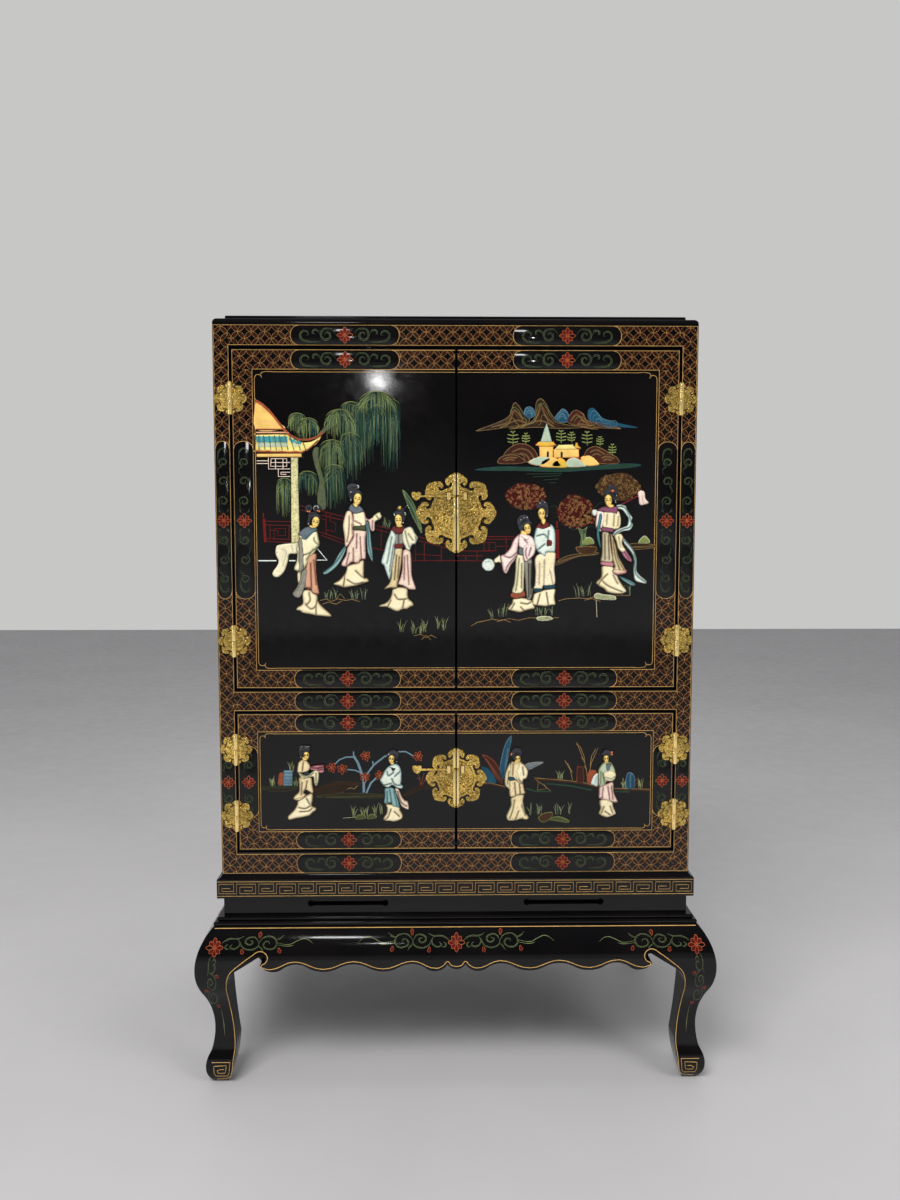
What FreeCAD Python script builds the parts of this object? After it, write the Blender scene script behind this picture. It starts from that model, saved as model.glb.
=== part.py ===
import FreeCAD, Part
import math
import os
from FreeCAD import Vector

os.makedirs("parts", exist_ok=True)

# A black-lacquer cabinet on a stand made like a low kang table.
# X is the width, Y the depth with the doors facing -Y, and Z is up from the floor.
# The origin is on the floor, under the middle of the piece. Sizes are in millimetres.

# Cabinet case
cabinet_width = 900.0
cabinet_depth = 480.0
side_board = 20.0
flat_board = 18.0           # bottom, mid deck, top and shelf
back_board = 10.0
back_rabbet = 10.0          # how far the back is let into each side
joint_clearance = 0.3       # left wherever a board is dropped in or slid in

# Face frame, with a rebate that each door closes into
stile_width = 29.5
bottom_rail_height = 43.0
mid_rail_height = 40.0
top_rail_height = 41.5
rebate_lap = 8.0            # how far the frame reaches behind a closed door
rebate_lip = 12.0           # thickness of the frame behind a closed door

# Doors
door_thickness = 20.0
door_gap = 3.0
door_edge_chamfer = 0.8
upper_door_height = 636.0
lower_door_height = 267.5

# Mouldings and top
base_moulding_height = 10.0
base_moulding_out = 9.0
base_fillet = 2.0           # the flat edge under the base moulding's hollow
base_hollow = 1.0           # how far the hollow is scooped, down and back
crown_height = 11.0
crown_radius = 9.5
frame_inset = 40.0          # how far the base and crown frames reach in under the case
slab_thickness = 8.0
slab_inset = 19.5
slab_edge_radius = 2.5

# Inside the upper compartment
shelf_height = 300.0        # above the mid deck
shelf_setback = 30.0        # behind the face frame
cleat_width = 18.0
cleat_height = 25.0

# Stand
leg_height = 306.5
leg_inset = 30.5            # from the case face in to the joint of leg and apron
shoulder_out = 15.0
knee_out = 44.5
knee_drop = 61.5            # of the knee below the top of the leg
shin_out = 33.5
shin_drop = 124.5
ankle_out = 15.5
ankle_height = 100.0
heel_out = 21.5             # where the ankle's hollow turns into the toe
heel_height = 64.0
toe_out = 31.0
toe_height = 35.0
sole_out = 17.4
sole_width = 27.0
spandrel_inset = 19.5       # of the leg's inner side, under the apron's corner
spandrel_drop = 87.0
calf_inset = 15.5
calf_drop = 102.5
shank_inset = 19.5
shank_drop = 164.5
ankle_inset = 25.8
ankle_back_height = 80.0
arch_inset = 22.0
arch_height = 42.0
bead_height = 7.5
bead_bulge = 1.8
bead_step = 6.0
waist_height = 37.0
waist_setback = 2.0
waist_board = 16.0
slot_length = 155.5
slot_height = 8.6
slot_end_radius = 6.4
slot_rise = 22.0            # of the slot above the foot of the waist
slot_distance = 209.0       # from the middle of the front board to each slot
key_rail_height = 34.5
key_rail_out = 9.0
key_rail_width = 70.0
panel_thickness = 12.0
tongue_thickness = 4.0
groove_depth = 8.0
batten_width = 60.0
batten_thickness = 14.0
batten_distance = 230.0
glue_block = 22.0
glue_block_height = 45.0

# Apron edge. Heights are measured from the top of the leg down, widths from the joint or the middle.
apron_back_inset = 7.0
crest_drop = 63.0
trough_drop = 77.0
lobe_drop = 73.5
cusp_drop = 64.5
joint_drop = 76.0
cusp_distance = 17.0
centre_trough_distance = 38.0
first_crest_distance = 82.0
last_crest_from_joint = 111.0
claw_trough_from_joint = 72.0
claw_tip_from_joint = 47.5
claw_tip_drop = 64.0
bay_depth = 58.5
bay_top_from_joint = 48.5
bay_top_drop = 47.0
bay_side_drop = 56.0
long_crest_count = 3
short_crest_count = 1

# Hinges
hinge_plate_radius = 30.5
upper_hinge_inset = 92.0
lower_hinge_inset = 69.5
leaf_thickness = 1.5
knuckle_radius = 4.0
barrel_height = 60.0
knuckle_clearance = 0.3
pin_radius = 1.6
pin_clearance = 0.05
leaf_edge = 3.7             # from the hinge axis to the straight edge of a leaf

# Locks
upper_lock_radius = 75.0
lower_lock_radius = 58.0
upper_lock_rise = 15.0      # of the lock above the middle of its door
lower_lock_rise = 7.0
lock_thickness = 1.6
disc_share = 0.66           # radius of a plate's disc as a share of the plate's own radius
lobe_count = 8
upper_bolt_rise = 31.0      # of the bolt above the middle of its lock
lower_bolt_rise = 17.4
bolt_length = 63.0
bolt_height = 3.4
bolt_thickness = 2.6
bolt_tip_setback = 1.5      # of the withdrawn bolt's tip from the edge of its door
shield_width = 17.5
shield_height = 16.0
shield_scoop = 2.0          # depth of the two hollows in the top of the bolt's head
shield_taper = 1.5
staple_width = 6.5
staple_height = 14.0
staple_wall = 1.2
left_staple_distance = 14.3
upper_right_staple_distance = 16.5
lower_right_staple_distance = 12.3

# Half a lobe of a plate, from the disc outwards, as shares of the plate's radius (aside, out)
leaf_lobe = [(0.21, 0.76), (0.15, 0.98)]
lock_lobe = [(0.09, 0.67), (0.115, 0.735), (0.17, 0.69), (0.235, 0.76), (0.235, 0.86), (0.13, 0.97)]

# Half a lady from the hem to the neck, as shares of her width and height, and the head in shares
# of its own radius and of her height
robe_outline = [(0.5, 0.0), (0.3, 0.24), (0.24, 0.45), (0.42, 0.62), (0.32, 0.76)]
head_outline = [(0.4, 0.835), (1.0, 0.87), (1.0, 0.915), (0.4, 0.95), (0.3, 1.0)]
head_share = 0.055          # radius of a lady's head as a share of her height

# Carved ladies on each door: (middle from the seam, foot above the door's lower edge, width, height)
lady_relief = 9.0
ladies_on = {
    "upper_left": {
        "lady_by_rock": (273.0, 135.5, 75.0, 214.0),
        "lady_in_pink": (194.0, 192.5, 110.0, 196.0),
        "lady_with_brown_collar": (110.0, 146.5, 75.0, 203.0),
    },
    "upper_right": {
        "lady_with_round_fan": (99.0, 144.5, 102.0, 186.0),
        "lady_in_pale_blue": (166.0, 156.5, 43.0, 201.0),
        "lady_with_ribbons": (306.0, 180.5, 106.0, 205.0),
    },
    "lower_left": {
        "lady_with_box": (288.0, 59.0, 70.0, 148.0),
        "lady_in_teal": (118.0, 54.0, 55.0, 142.0),
    },
    "lower_right": {
        "lady_in_cream": (117.0, 55.0, 46.0, 145.0),
        "lady_in_green": (284.0, 62.0, 50.0, 133.0),
    },
}

# Places that follow from the sizes above
half_width = cabinet_width / 2
half_depth = cabinet_depth / 2
face_y = -half_depth
waist_z = leg_height + 2 * bead_height
key_rail_z = waist_z + waist_height
stand_top = key_rail_z + key_rail_height
case_z = stand_top + base_moulding_height
lower_door_z = case_z + bottom_rail_height + door_gap
mid_rail_z = lower_door_z + lower_door_height + door_gap
upper_door_z = mid_rail_z + mid_rail_height + door_gap
top_rail_z = upper_door_z + upper_door_height + door_gap
case_top = top_rail_z + top_rail_height
crown_top = case_top + crown_height
stile_inner = half_width - stile_width
door_outer = stile_inner - door_gap
door_inner = door_gap / 2
hinge_x = stile_inner - door_gap / 2
axis_y = face_y - knuckle_clearance - knuckle_radius
lip_reach = door_gap + rebate_lap
door_back_y = face_y + door_thickness
lip_front_y = door_back_y + joint_clearance
frame_back_y = lip_front_y + rebate_lip
back_front_y = half_depth - back_board
leg_joint_x = half_width - leg_inset
leg_joint_y = half_depth - leg_inset
mitre_out = 2 * knee_out
mitre_in = 2 * key_rail_width


def save(name, shapes):
    """Writes one node from one solid or a list of separate solids."""
    solids = shapes if isinstance(shapes, list) else [shapes]
    node = solids[0] if len(solids) == 1 else Part.makeCompound(solids)
    node.exportStep(f"parts/{name}.step")


def block(x0, x1, y0, y1, z0, z1):
    return Part.makeBox(x1 - x0, y1 - y0, z1 - z0, Vector(x0, y0, z0))


def mirrored(shape):
    """The same piece on the other side of the cabinet."""
    return shape.mirror(Vector(0, 0, 0), Vector(1, 0, 0))


def turned(shape, degrees):
    copy = shape.copy()
    copy.rotate(Vector(0, 0, 0), Vector(0, 0, 1), degrees)
    return copy


def outline(place, start, steps):
    """A flat face. A step of one point is a line and a step of two is an arc."""
    edges = []
    here = start
    for step in steps:
        points = [place(*here)] + [place(*point) for point in step]
        if len(step) == 1:
            edges.append(Part.LineSegment(points[0], points[1]).toShape())
        else:
            edges.append(Part.Arc(*points).toShape())
        here = step[-1]
    if here != start:
        edges.append(Part.LineSegment(place(*here), place(*start)).toShape())
    return Part.Face(Part.Wire(edges))


def polygon(place, points):
    corners = [place(*point) for point in points]
    return Part.Face(Part.makePolygon(corners + corners[:1]))


def front_view(x, z):
    return Vector(x, 0, z)


def section(out, z):
    """A point of a moulding's section: out is measured forward from the case face."""
    return Vector(0, -out, z)


def mitred_length(face, half_run, distance):
    """One length of a mitred frame, facing -Y, from its section. The mitres meet on the case corners."""
    length = 2 * (half_run + mitre_out)
    bar = face.extrude(Vector(length, 0, 0))
    bar.translate(Vector(-length / 2, -distance, 0))
    box = bar.BoundBox
    corners = [
        (-half_run - mitre_out, -distance - mitre_out),
        (half_run + mitre_out, -distance - mitre_out),
        (half_run - mitre_in, -distance + mitre_in),
        (-half_run + mitre_in, -distance + mitre_in),
    ]
    wedge = polygon(lambda x, y: Vector(x, y, box.ZMin), corners)
    return bar.common(wedge.extrude(Vector(0, 0, box.ZLength)))


def mitred_frame(face):
    """Front, back, left and right lengths of a frame that runs round the case."""
    front = mitred_length(face, half_width, half_depth)
    side = mitred_length(face, half_depth, half_width)
    return {
        "front": front,
        "back": turned(front, 180),
        "left": turned(side, -90),
        "right": turned(side, 90),
    }


# The stand


def leg_profile(place):
    """The sawing pattern of a leg: knee, ankle and toe outside, and a hollow calf inside."""
    outer = [
        [(knee_out, leg_height - knee_drop), (shin_out, leg_height - shin_drop)],
        [(ankle_out, ankle_height), (heel_out, heel_height)],
        [(toe_out, toe_height), (sole_out, 0.0)],
    ]
    inner = [
        [(sole_out - sole_width, 0.0)],
        [(-arch_inset, arch_height), (-ankle_inset, ankle_back_height)],
        [(-shank_inset, leg_height - shank_drop), (-calf_inset, leg_height - calf_drop)],
        [(-spandrel_inset, leg_height - spandrel_drop), (-leg_inset, leg_height - joint_drop)],
        [(-leg_inset, leg_height)],
    ]
    return outline(place, (shoulder_out, leg_height), outer + inner)


def make_leg():
    """The front left leg, sawn from square stock by the same pattern on two faces."""
    stock = 2 * mitre_out
    across = leg_profile(lambda out, z: Vector(-half_width - out, -half_depth - mitre_out, z))
    along = leg_profile(lambda out, z: Vector(-half_width - mitre_out, -half_depth - out, z))
    return across.extrude(Vector(0, stock, 0)).common(along.extrude(Vector(stock, 0, 0)))


def apron_edge(half_run, crest_count):
    """The open space under an apron, as a face seen from the front."""
    def at(x, drop):
        return (x, leg_height - drop)

    last_crest = half_run - last_crest_from_joint
    first_crest = first_crest_distance if crest_count > 1 else last_crest
    spacing = (last_crest - first_crest) / max(crest_count - 1, 1)
    turns = [at(centre_trough_distance, trough_drop)]
    for number in range(crest_count):
        crest = first_crest + number * spacing
        if number:
            turns.append(at(crest - spacing / 2, trough_drop))
        turns.append(at(crest, crest_drop))
    turns.append(at(half_run - claw_trough_from_joint, trough_drop))
    right = []
    for turn, following in zip(turns, turns[1:]):
        right.append([turn, ((turn[0] + following[0]) / 2, (turn[1] + following[1]) / 2)])
    right.append([turns[-1], at(half_run - claw_tip_from_joint, claw_tip_drop)])
    right.append([at(half_run - bay_depth, bay_side_drop), at(half_run - bay_top_from_joint, bay_top_drop)])
    right.append([at(half_run, joint_drop)])
    cusp = at(cusp_distance, cusp_drop)
    corners = [cusp] + [step[-1] for step in right]
    left = []
    for corner, step in zip(reversed(corners[:-1]), reversed(right)):
        left.append([(-x, z) for x, z in list(reversed(step[:-1])) + [corner]])
    lobe = [at(0, lobe_drop), cusp]
    low = 2 * leg_height
    steps = left + [lobe] + right + [[at(half_run, low)], [at(-half_run, low)]]
    return outline(front_view, at(-half_run, joint_drop), steps)


def make_apron(half_run, distance, crest_count):
    """An apron between two legs, facing -Y. Its bulge is the knee of the legs, so the joint is flush."""
    bulge = leg_profile(lambda out, z: Vector(-half_run, -distance - out, z))
    bar = bulge.extrude(Vector(2 * half_run, 0, 0))
    front = -distance - mitre_out
    back = -distance + apron_back_inset
    bar = bar.common(block(-half_run, half_run, front, back, 0, leg_height))
    void = apron_edge(half_run, crest_count).extrude(Vector(0, 2 * mitre_out, 0))
    void.translate(Vector(0, front, 0))
    return bar.cut(void)


leg = make_leg()
save("leg_front_left", leg)
save("leg_front_right", mirrored(leg))
save("leg_back_right", turned(leg, 180))
save("leg_back_left", mirrored(turned(leg, 180)))

long_apron = make_apron(leg_joint_x, half_depth, long_crest_count)
short_apron = make_apron(leg_joint_y, half_width, short_crest_count)
save("apron_front", long_apron)
save("apron_back", turned(long_apron, 180))
save("apron_left", turned(short_apron, -90))
save("apron_right", turned(short_apron, 90))

block_z = leg_height - glue_block_height
inner_x = half_width - apron_back_inset
inner_y = half_depth - apron_back_inset
glue_blocks = [
    block(-leg_joint_x, -leg_joint_x + glue_block, -inner_y, -inner_y + glue_block, block_z, leg_height),
    block(-inner_x, -inner_x + glue_block, -leg_joint_y, -leg_joint_y + glue_block, block_z, leg_height),
]
glue_blocks += [mirrored(piece) for piece in glue_blocks]
glue_blocks += [turned(piece, 180) for piece in glue_blocks]
save("glue_blocks", glue_blocks)

bead_edge = shoulder_out - bead_bulge
upper_bead_z = leg_height + bead_height
shoulder_face = outline(
    section,
    (-frame_inset, leg_height),
    [
        [(bead_edge, leg_height)],
        [(shoulder_out, leg_height + bead_height / 2), (bead_edge, upper_bead_z)],
        [(bead_edge - bead_step, upper_bead_z)],
        [(shoulder_out - bead_step, upper_bead_z + bead_height / 2), (bead_edge - bead_step, waist_z)],
        [(-frame_inset, waist_z)],
    ],
)
save("shoulder_moulding", list(mitred_frame(shoulder_face).values()))


def pierced(board, distances):
    """Cuts the long slots with round ends through a waist board that faces -Y."""
    middle = waist_z + slot_rise
    for distance in distances:
        low = distance - slot_length / 2 + slot_end_radius
        high = distance + slot_length / 2 - slot_end_radius
        slot = block(low, high, -cabinet_width, 0, middle - slot_height / 2, middle + slot_height / 2)
        board = board.cut(slot)
        for end in (low, high):
            start = Vector(end, -cabinet_width, middle)
            board = board.cut(Part.makeCylinder(slot_end_radius, cabinet_width, start, Vector(0, 1, 0)))
    return board


waist_back = -waist_setback - waist_board
waist_corners = [
    (-waist_setback, waist_z),
    (-waist_setback, key_rail_z),
    (waist_back, key_rail_z),
    (waist_back, waist_z),
]
waist_face = polygon(section, waist_corners)
long_waist = mitred_length(waist_face, half_width, half_depth)
short_waist = mitred_length(waist_face, half_depth, half_width)
save("waist_front", pierced(long_waist, (-slot_distance, slot_distance)))
save("waist_back", turned(long_waist, 180))
save("waist_left", turned(pierced(short_waist, (0.0,)), -90))
save("waist_right", turned(pierced(short_waist, (0.0,)), 90))

rail_inner = key_rail_out - key_rail_width
groove_top = stand_top - (panel_thickness - tongue_thickness) / 2
groove_low = groove_top - tongue_thickness
key_rail_corners = [
    (key_rail_out, key_rail_z),
    (key_rail_out, stand_top),
    (rail_inner, stand_top),
    (rail_inner, groove_top),
    (rail_inner + groove_depth, groove_top),
    (rail_inner + groove_depth, groove_low),
    (rail_inner, groove_low),
    (rail_inner, key_rail_z),
]
key_rail_face = polygon(section, key_rail_corners)
key_frame = mitred_frame(key_rail_face)
save("key_rails_long", [key_frame["front"], key_frame["back"]])
save("key_rails_short", [key_frame["left"], key_frame["right"]])

field_x = half_width + rail_inner - joint_clearance
field_y = half_depth + rail_inner - joint_clearance
tongue = groove_depth - joint_clearance
panel_low = stand_top - panel_thickness
stand_panel = block(-field_x, field_x, -field_y, field_y, panel_low, stand_top)
tongue_x = field_x + tongue
tongue_y = field_y + tongue
tongue_low = groove_low + joint_clearance
tongue_top = groove_top - joint_clearance
stand_panel = stand_panel.fuse(block(-tongue_x, tongue_x, -tongue_y, tongue_y, tongue_low, tongue_top))
stand_panel = stand_panel.removeSplitter()
save("stand_panel", stand_panel)

batten_end = half_depth + rail_inner
batten_low = panel_low - batten_thickness
battens = []
for x in (-batten_distance, batten_distance):
    left = x - batten_width / 2
    battens.append(block(left, left + batten_width, -batten_end, batten_end, batten_low, panel_low))
save("stand_battens", battens)

# The cabinet's case
hollow_z = stand_top + base_fillet
hollow_middle = (base_moulding_out / 2 - base_hollow, (hollow_z + case_z) / 2 - base_hollow)
base_face = outline(
    section,
    (-frame_inset, stand_top),
    [
        [(base_moulding_out, stand_top)],
        [(base_moulding_out, hollow_z)],
        [hollow_middle, (0.0, case_z)],
        [(-frame_inset, case_z)],
    ],
)
save("base_moulding", list(mitred_frame(base_face).values()))

crown_edge = crown_height - crown_radius
diagonal = crown_radius * (1 - math.sqrt(0.5))
crown_face = outline(
    section,
    (-frame_inset, case_top),
    [
        [(0.0, case_top)],
        [(0.0, case_top + crown_edge)],
        [(-diagonal, crown_top - diagonal), (-crown_radius, crown_top)],
        [(-frame_inset, crown_top)],
    ],
)
save("crown_moulding", list(mitred_frame(crown_face).values()))

slab_x = half_width - slab_inset
slab_y = half_depth - slab_inset
slab_top = crown_top + slab_thickness
top_slab = block(-slab_x, slab_x, -slab_y, slab_y, crown_top, slab_top)
upper_edges = [edge for edge in top_slab.Edges if edge.BoundBox.ZMin > slab_top - slab_thickness / 2]
save("top_slab", top_slab.makeFillet(slab_edge_radius, upper_edges))

side = block(half_width - side_board, half_width, frame_back_y, half_depth, case_z, case_top)
side_inner = half_width - side_board
back_x = side_inner + back_rabbet
side = side.cut(block(side_inner, back_x, back_front_y, half_depth, case_z, case_top))
save("side_right", side)
save("side_left", mirrored(side))
save("back_board", block(-back_x, back_x, back_front_y, half_depth, case_z, case_top))


def case_board(top_z, inset=0.0, front=frame_back_y):
    return block(-side_inner + inset, side_inner - inset, front, back_front_y, top_z - flat_board, top_z)


floor_z = lower_door_z - door_gap + lip_reach
deck_z = upper_door_z - door_gap + lip_reach
shelf_z = deck_z + shelf_height
save("bottom_board", case_board(floor_z))
save("mid_deck", case_board(deck_z))
save("top_board", case_board(case_top))
save("shelf", case_board(shelf_z, joint_clearance, frame_back_y + shelf_setback))
cleat_top = shelf_z - flat_board
cleat_front = frame_back_y + shelf_setback
cleat_low = cleat_top - cleat_height
cleat = block(side_inner - cleat_width, side_inner, cleat_front, back_front_y, cleat_low, cleat_top)
save("shelf_cleats", [cleat, mirrored(cleat)])


def rail(low, high, lip_low, lip_high):
    """A rail of the face frame between the stiles, with its rebate lips below and above."""
    front = block(-stile_inner, stile_inner, face_y, lip_front_y, low, high)
    lip_x = stile_inner - lip_reach
    lip = block(-lip_x, lip_x, lip_front_y, frame_back_y, low - lip_low, high + lip_high)
    return front.fuse(lip).removeSplitter()


save("bottom_rail", rail(case_z, case_z + bottom_rail_height, 0.0, lip_reach))
save("mid_rail", rail(mid_rail_z, mid_rail_z + mid_rail_height, lip_reach, lip_reach))
save("top_rail", rail(top_rail_z, case_top, lip_reach, 0.0))
stile = block(stile_inner, half_width, face_y, frame_back_y, case_z, case_top)
stile = stile.fuse(block(stile_inner - lip_reach, stile_inner, lip_front_y, frame_back_y, case_z, case_top))
stile = stile.removeSplitter()
save("stile_right", stile)
save("stile_left", mirrored(stile))

# The doors


def make_door(low, height):
    """The right door of a pair, with its front edges eased."""
    door = block(door_inner, door_outer, face_y, door_back_y, low, low + height)
    front_edges = [edge for edge in door.Edges if edge.BoundBox.YMax < face_y + door_thickness / 2]
    return door.makeChamfer(door_edge_chamfer, front_edges)


upper_door = make_door(upper_door_z, upper_door_height)
lower_door = make_door(lower_door_z, lower_door_height)
save("door_upper_right", upper_door)
save("door_upper_left", mirrored(upper_door))
save("door_lower_right", lower_door)
save("door_lower_left", mirrored(lower_door))

# The brass


def cloud_plate(radius, thickness, lobe):
    """A plate facing -Y: a disc with cloud-head lobes."""
    def turned_place(angle):
        def place(aside, out):
            x = out * math.cos(angle) - aside * math.sin(angle)
            z = out * math.sin(angle) + aside * math.cos(angle)
            return Vector(x * radius, 0, z * radius)
        return place

    valley_angle = math.pi / lobe_count
    valley = (disc_share * math.sin(valley_angle), disc_share * math.cos(valley_angle))
    other_half = [(-aside, out) for aside, out in reversed([valley] + lobe)]
    points = [valley] + lobe + other_half + [(0.0, 0.0)]
    prisms = []
    for number in range(lobe_count):
        face = polygon(turned_place(2 * number * valley_angle), points)
        prisms.append(face.extrude(Vector(0, -thickness, 0)))
    return prisms[0].multiFuse(prisms[1:]).removeSplitter()


leaf_back = knuckle_radius + knuckle_clearance
leaf_front = leaf_back - leaf_thickness
barrel_end = barrel_height / 2
knuckle_end = knuckle_clearance / 2


def hinge_leaf(low, high):
    """A leaf on the +X side of its rolled knuckle, with its back on the wood and the axis at the origin."""
    plate = cloud_plate(hinge_plate_radius, leaf_thickness, leaf_lobe)
    plate.translate(Vector(0, leaf_back, 0))
    reach = 2 * hinge_plate_radius
    plate = plate.common(block(leaf_edge, reach, -reach, reach, -reach, reach))
    steps = [
        [(0.0, -knuckle_radius), (knuckle_radius, 0.0)],
        [(knuckle_radius, leaf_front)],
        [(leaf_edge + leaf_thickness, leaf_front)],
        [(leaf_edge + leaf_thickness, leaf_back)],
        [(0.0, leaf_back)],
        [(-knuckle_radius, 0.0)],
    ]
    rolled = outline(lambda x, y: Vector(x, y, low), (-knuckle_radius, 0.0), steps)
    return plate.fuse(rolled.extrude(Vector(0, 0, high - low)))


hinge_pin = Part.makeCylinder(pin_radius, barrel_height, Vector(0, 0, -barrel_end))
bore = Part.makeCylinder(pin_radius + pin_clearance, barrel_height, Vector(0, 0, -barrel_end))
frame_leaf = hinge_leaf(-barrel_end, -knuckle_end).fuse(hinge_pin).removeSplitter()
door_leaf = mirrored(hinge_leaf(knuckle_end, barrel_end).cut(bore).removeSplitter())


def placed(shape, z):
    copy = shape.copy()
    copy.translate(Vector(hinge_x, axis_y, z))
    return copy


frame_leaves = []
for level, low, height, inset in (
    ("upper", upper_door_z, upper_door_height, upper_hinge_inset),
    ("lower", lower_door_z, lower_door_height, lower_hinge_inset),
):
    heights = (low + inset, low + height - inset)
    frame_leaves += [placed(frame_leaf, z) for z in heights]
    leaves = [placed(door_leaf, z) for z in heights]
    save(f"hinge_leaves_{level}_right", leaves)
    save(f"hinge_leaves_{level}_left", [mirrored(leaf) for leaf in leaves])
save("hinge_leaves_frame", frame_leaves + [mirrored(leaf) for leaf in frame_leaves])

plate_y = face_y - lock_thickness
bolt_back_y = plate_y - joint_clearance
bolt_front_y = bolt_back_y - bolt_thickness


def staple(x, z):
    """A strap that bridges the bolt and stands on the lock plate."""
    front = bolt_front_y - joint_clearance - staple_wall
    left = x - staple_width / 2
    right = x + staple_width / 2
    strap = block(left, right, front, plate_y, z - staple_height / 2, z + staple_height / 2)
    opening = staple_height / 2 - staple_wall
    return strap.cut(block(left, right, front + staple_wall, plate_y, z - opening, z + opening))


def lock_half(radius, middle, bolt_z, staple_x, side):
    """Half a lock plate on one door, cut back to the door's edge, and its staple."""
    plate = cloud_plate(radius, lock_thickness, lock_lobe)
    plate.translate(Vector(0, face_y, middle))
    reach = 2 * radius
    half = plate.common(block(door_inner, reach, plate_y, face_y, middle - reach, middle + reach))
    if side == "left":
        return [mirrored(half), staple(-staple_x, bolt_z)]
    return [half, staple(staple_x, bolt_z)]


def make_bolt(z):
    """A sliding bolt drawn back to the left, so that its tip is clear of the door seam."""
    tip = -door_inner - bolt_tip_setback
    left = tip - bolt_length - shield_width
    right = tip - bolt_length
    middle = (left + right) / 2
    bar = block(middle, tip, bolt_front_y, bolt_back_y, z - bolt_height / 2, z + bolt_height / 2)
    top = z + shield_height / 2
    shoulder = top - shield_scoop
    waist = z - shield_scoop
    steps = [
        [((left + middle) / 2, top), (middle, shoulder)],
        [((right + middle) / 2, top), (right, shoulder)],
        [(right - shield_taper, waist), (middle, z - shield_height / 2)],
        [(left + shield_taper, waist), (left, shoulder)],
    ]
    shield = outline(lambda x, height: Vector(x, bolt_front_y, height), (left, shoulder), steps)
    shield = shield.extrude(Vector(0, bolt_thickness, 0))
    return bar.fuse(shield).removeSplitter()


upper_lock_z = upper_door_z + upper_door_height / 2 + upper_lock_rise
lower_lock_z = lower_door_z + lower_door_height / 2 + lower_lock_rise
upper_bolt_z = upper_lock_z + upper_bolt_rise
lower_bolt_z = lower_lock_z + lower_bolt_rise
locks = {
    "upper": (upper_lock_radius, upper_lock_z, upper_bolt_z, upper_right_staple_distance),
    "lower": (lower_lock_radius, lower_lock_z, lower_bolt_z, lower_right_staple_distance),
}
for level, (radius, middle, bolt_z, right_staple) in locks.items():
    save(f"lock_plate_{level}_left", lock_half(radius, middle, bolt_z, left_staple_distance, "left"))
    save(f"lock_plate_{level}_right", lock_half(radius, middle, bolt_z, right_staple, "right"))
    save(f"bolt_{level}", make_bolt(bolt_z))

# The carved ladies


def make_lady(middle, foot, width, height):
    """The outline of a standing lady in relief: robe with sleeves, head and hair knot."""
    head = head_share * height
    half = [(x * width, z * height) for x, z in robe_outline]
    half += [(x * head, z * height) for x, z in head_outline]
    points = half + [(-x, z) for x, z in reversed(half)]
    face = polygon(lambda x, z: Vector(middle + x, face_y, foot + z), points)
    return face.extrude(Vector(0, -lady_relief, 0))


for door, ladies in ladies_on.items():
    side = 1 if door.endswith("right") else -1
    door_z = upper_door_z if door.startswith("upper") else lower_door_z
    for name, (from_seam, foot, width, height) in ladies.items():
        save(name, make_lady(side * from_seam, door_z + foot, width, height))
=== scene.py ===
import math
import random

import bmesh
import bpy
import numpy
from mathutils import Matrix, Vector
from mathutils.bvhtree import BVHTree


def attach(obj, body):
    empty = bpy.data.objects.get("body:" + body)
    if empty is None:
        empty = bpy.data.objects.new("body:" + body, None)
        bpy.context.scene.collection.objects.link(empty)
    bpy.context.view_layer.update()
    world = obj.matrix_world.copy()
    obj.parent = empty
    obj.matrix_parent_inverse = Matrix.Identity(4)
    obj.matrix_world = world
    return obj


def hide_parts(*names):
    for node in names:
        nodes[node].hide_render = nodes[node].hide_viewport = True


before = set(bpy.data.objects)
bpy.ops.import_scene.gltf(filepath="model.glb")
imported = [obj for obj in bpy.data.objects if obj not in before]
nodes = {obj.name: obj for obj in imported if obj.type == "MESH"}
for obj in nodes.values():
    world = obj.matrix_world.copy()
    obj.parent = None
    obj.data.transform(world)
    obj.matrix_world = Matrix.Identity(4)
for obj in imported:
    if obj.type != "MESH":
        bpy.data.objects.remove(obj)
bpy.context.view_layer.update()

print("cabinet: frame loaded,", len(nodes), "nodes")

# Sizes are in millimetres in the whole script and turned to metres when a piece is finished
mm = 0.001
case = {
    "front": -240.0,
    "halfWidth": 450.0,
    "halfDepth": 240.0,
    "seam": 1.5,
}
camera = {"place": (-0.0378, -1.9516, 1.0579), "tilt": 85.7845, "turn": -0.8705, "lens": 27.255}
doorSides = {"upper_left": -1, "upper_right": 1, "lower_left": -1, "lower_right": 1}

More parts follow.
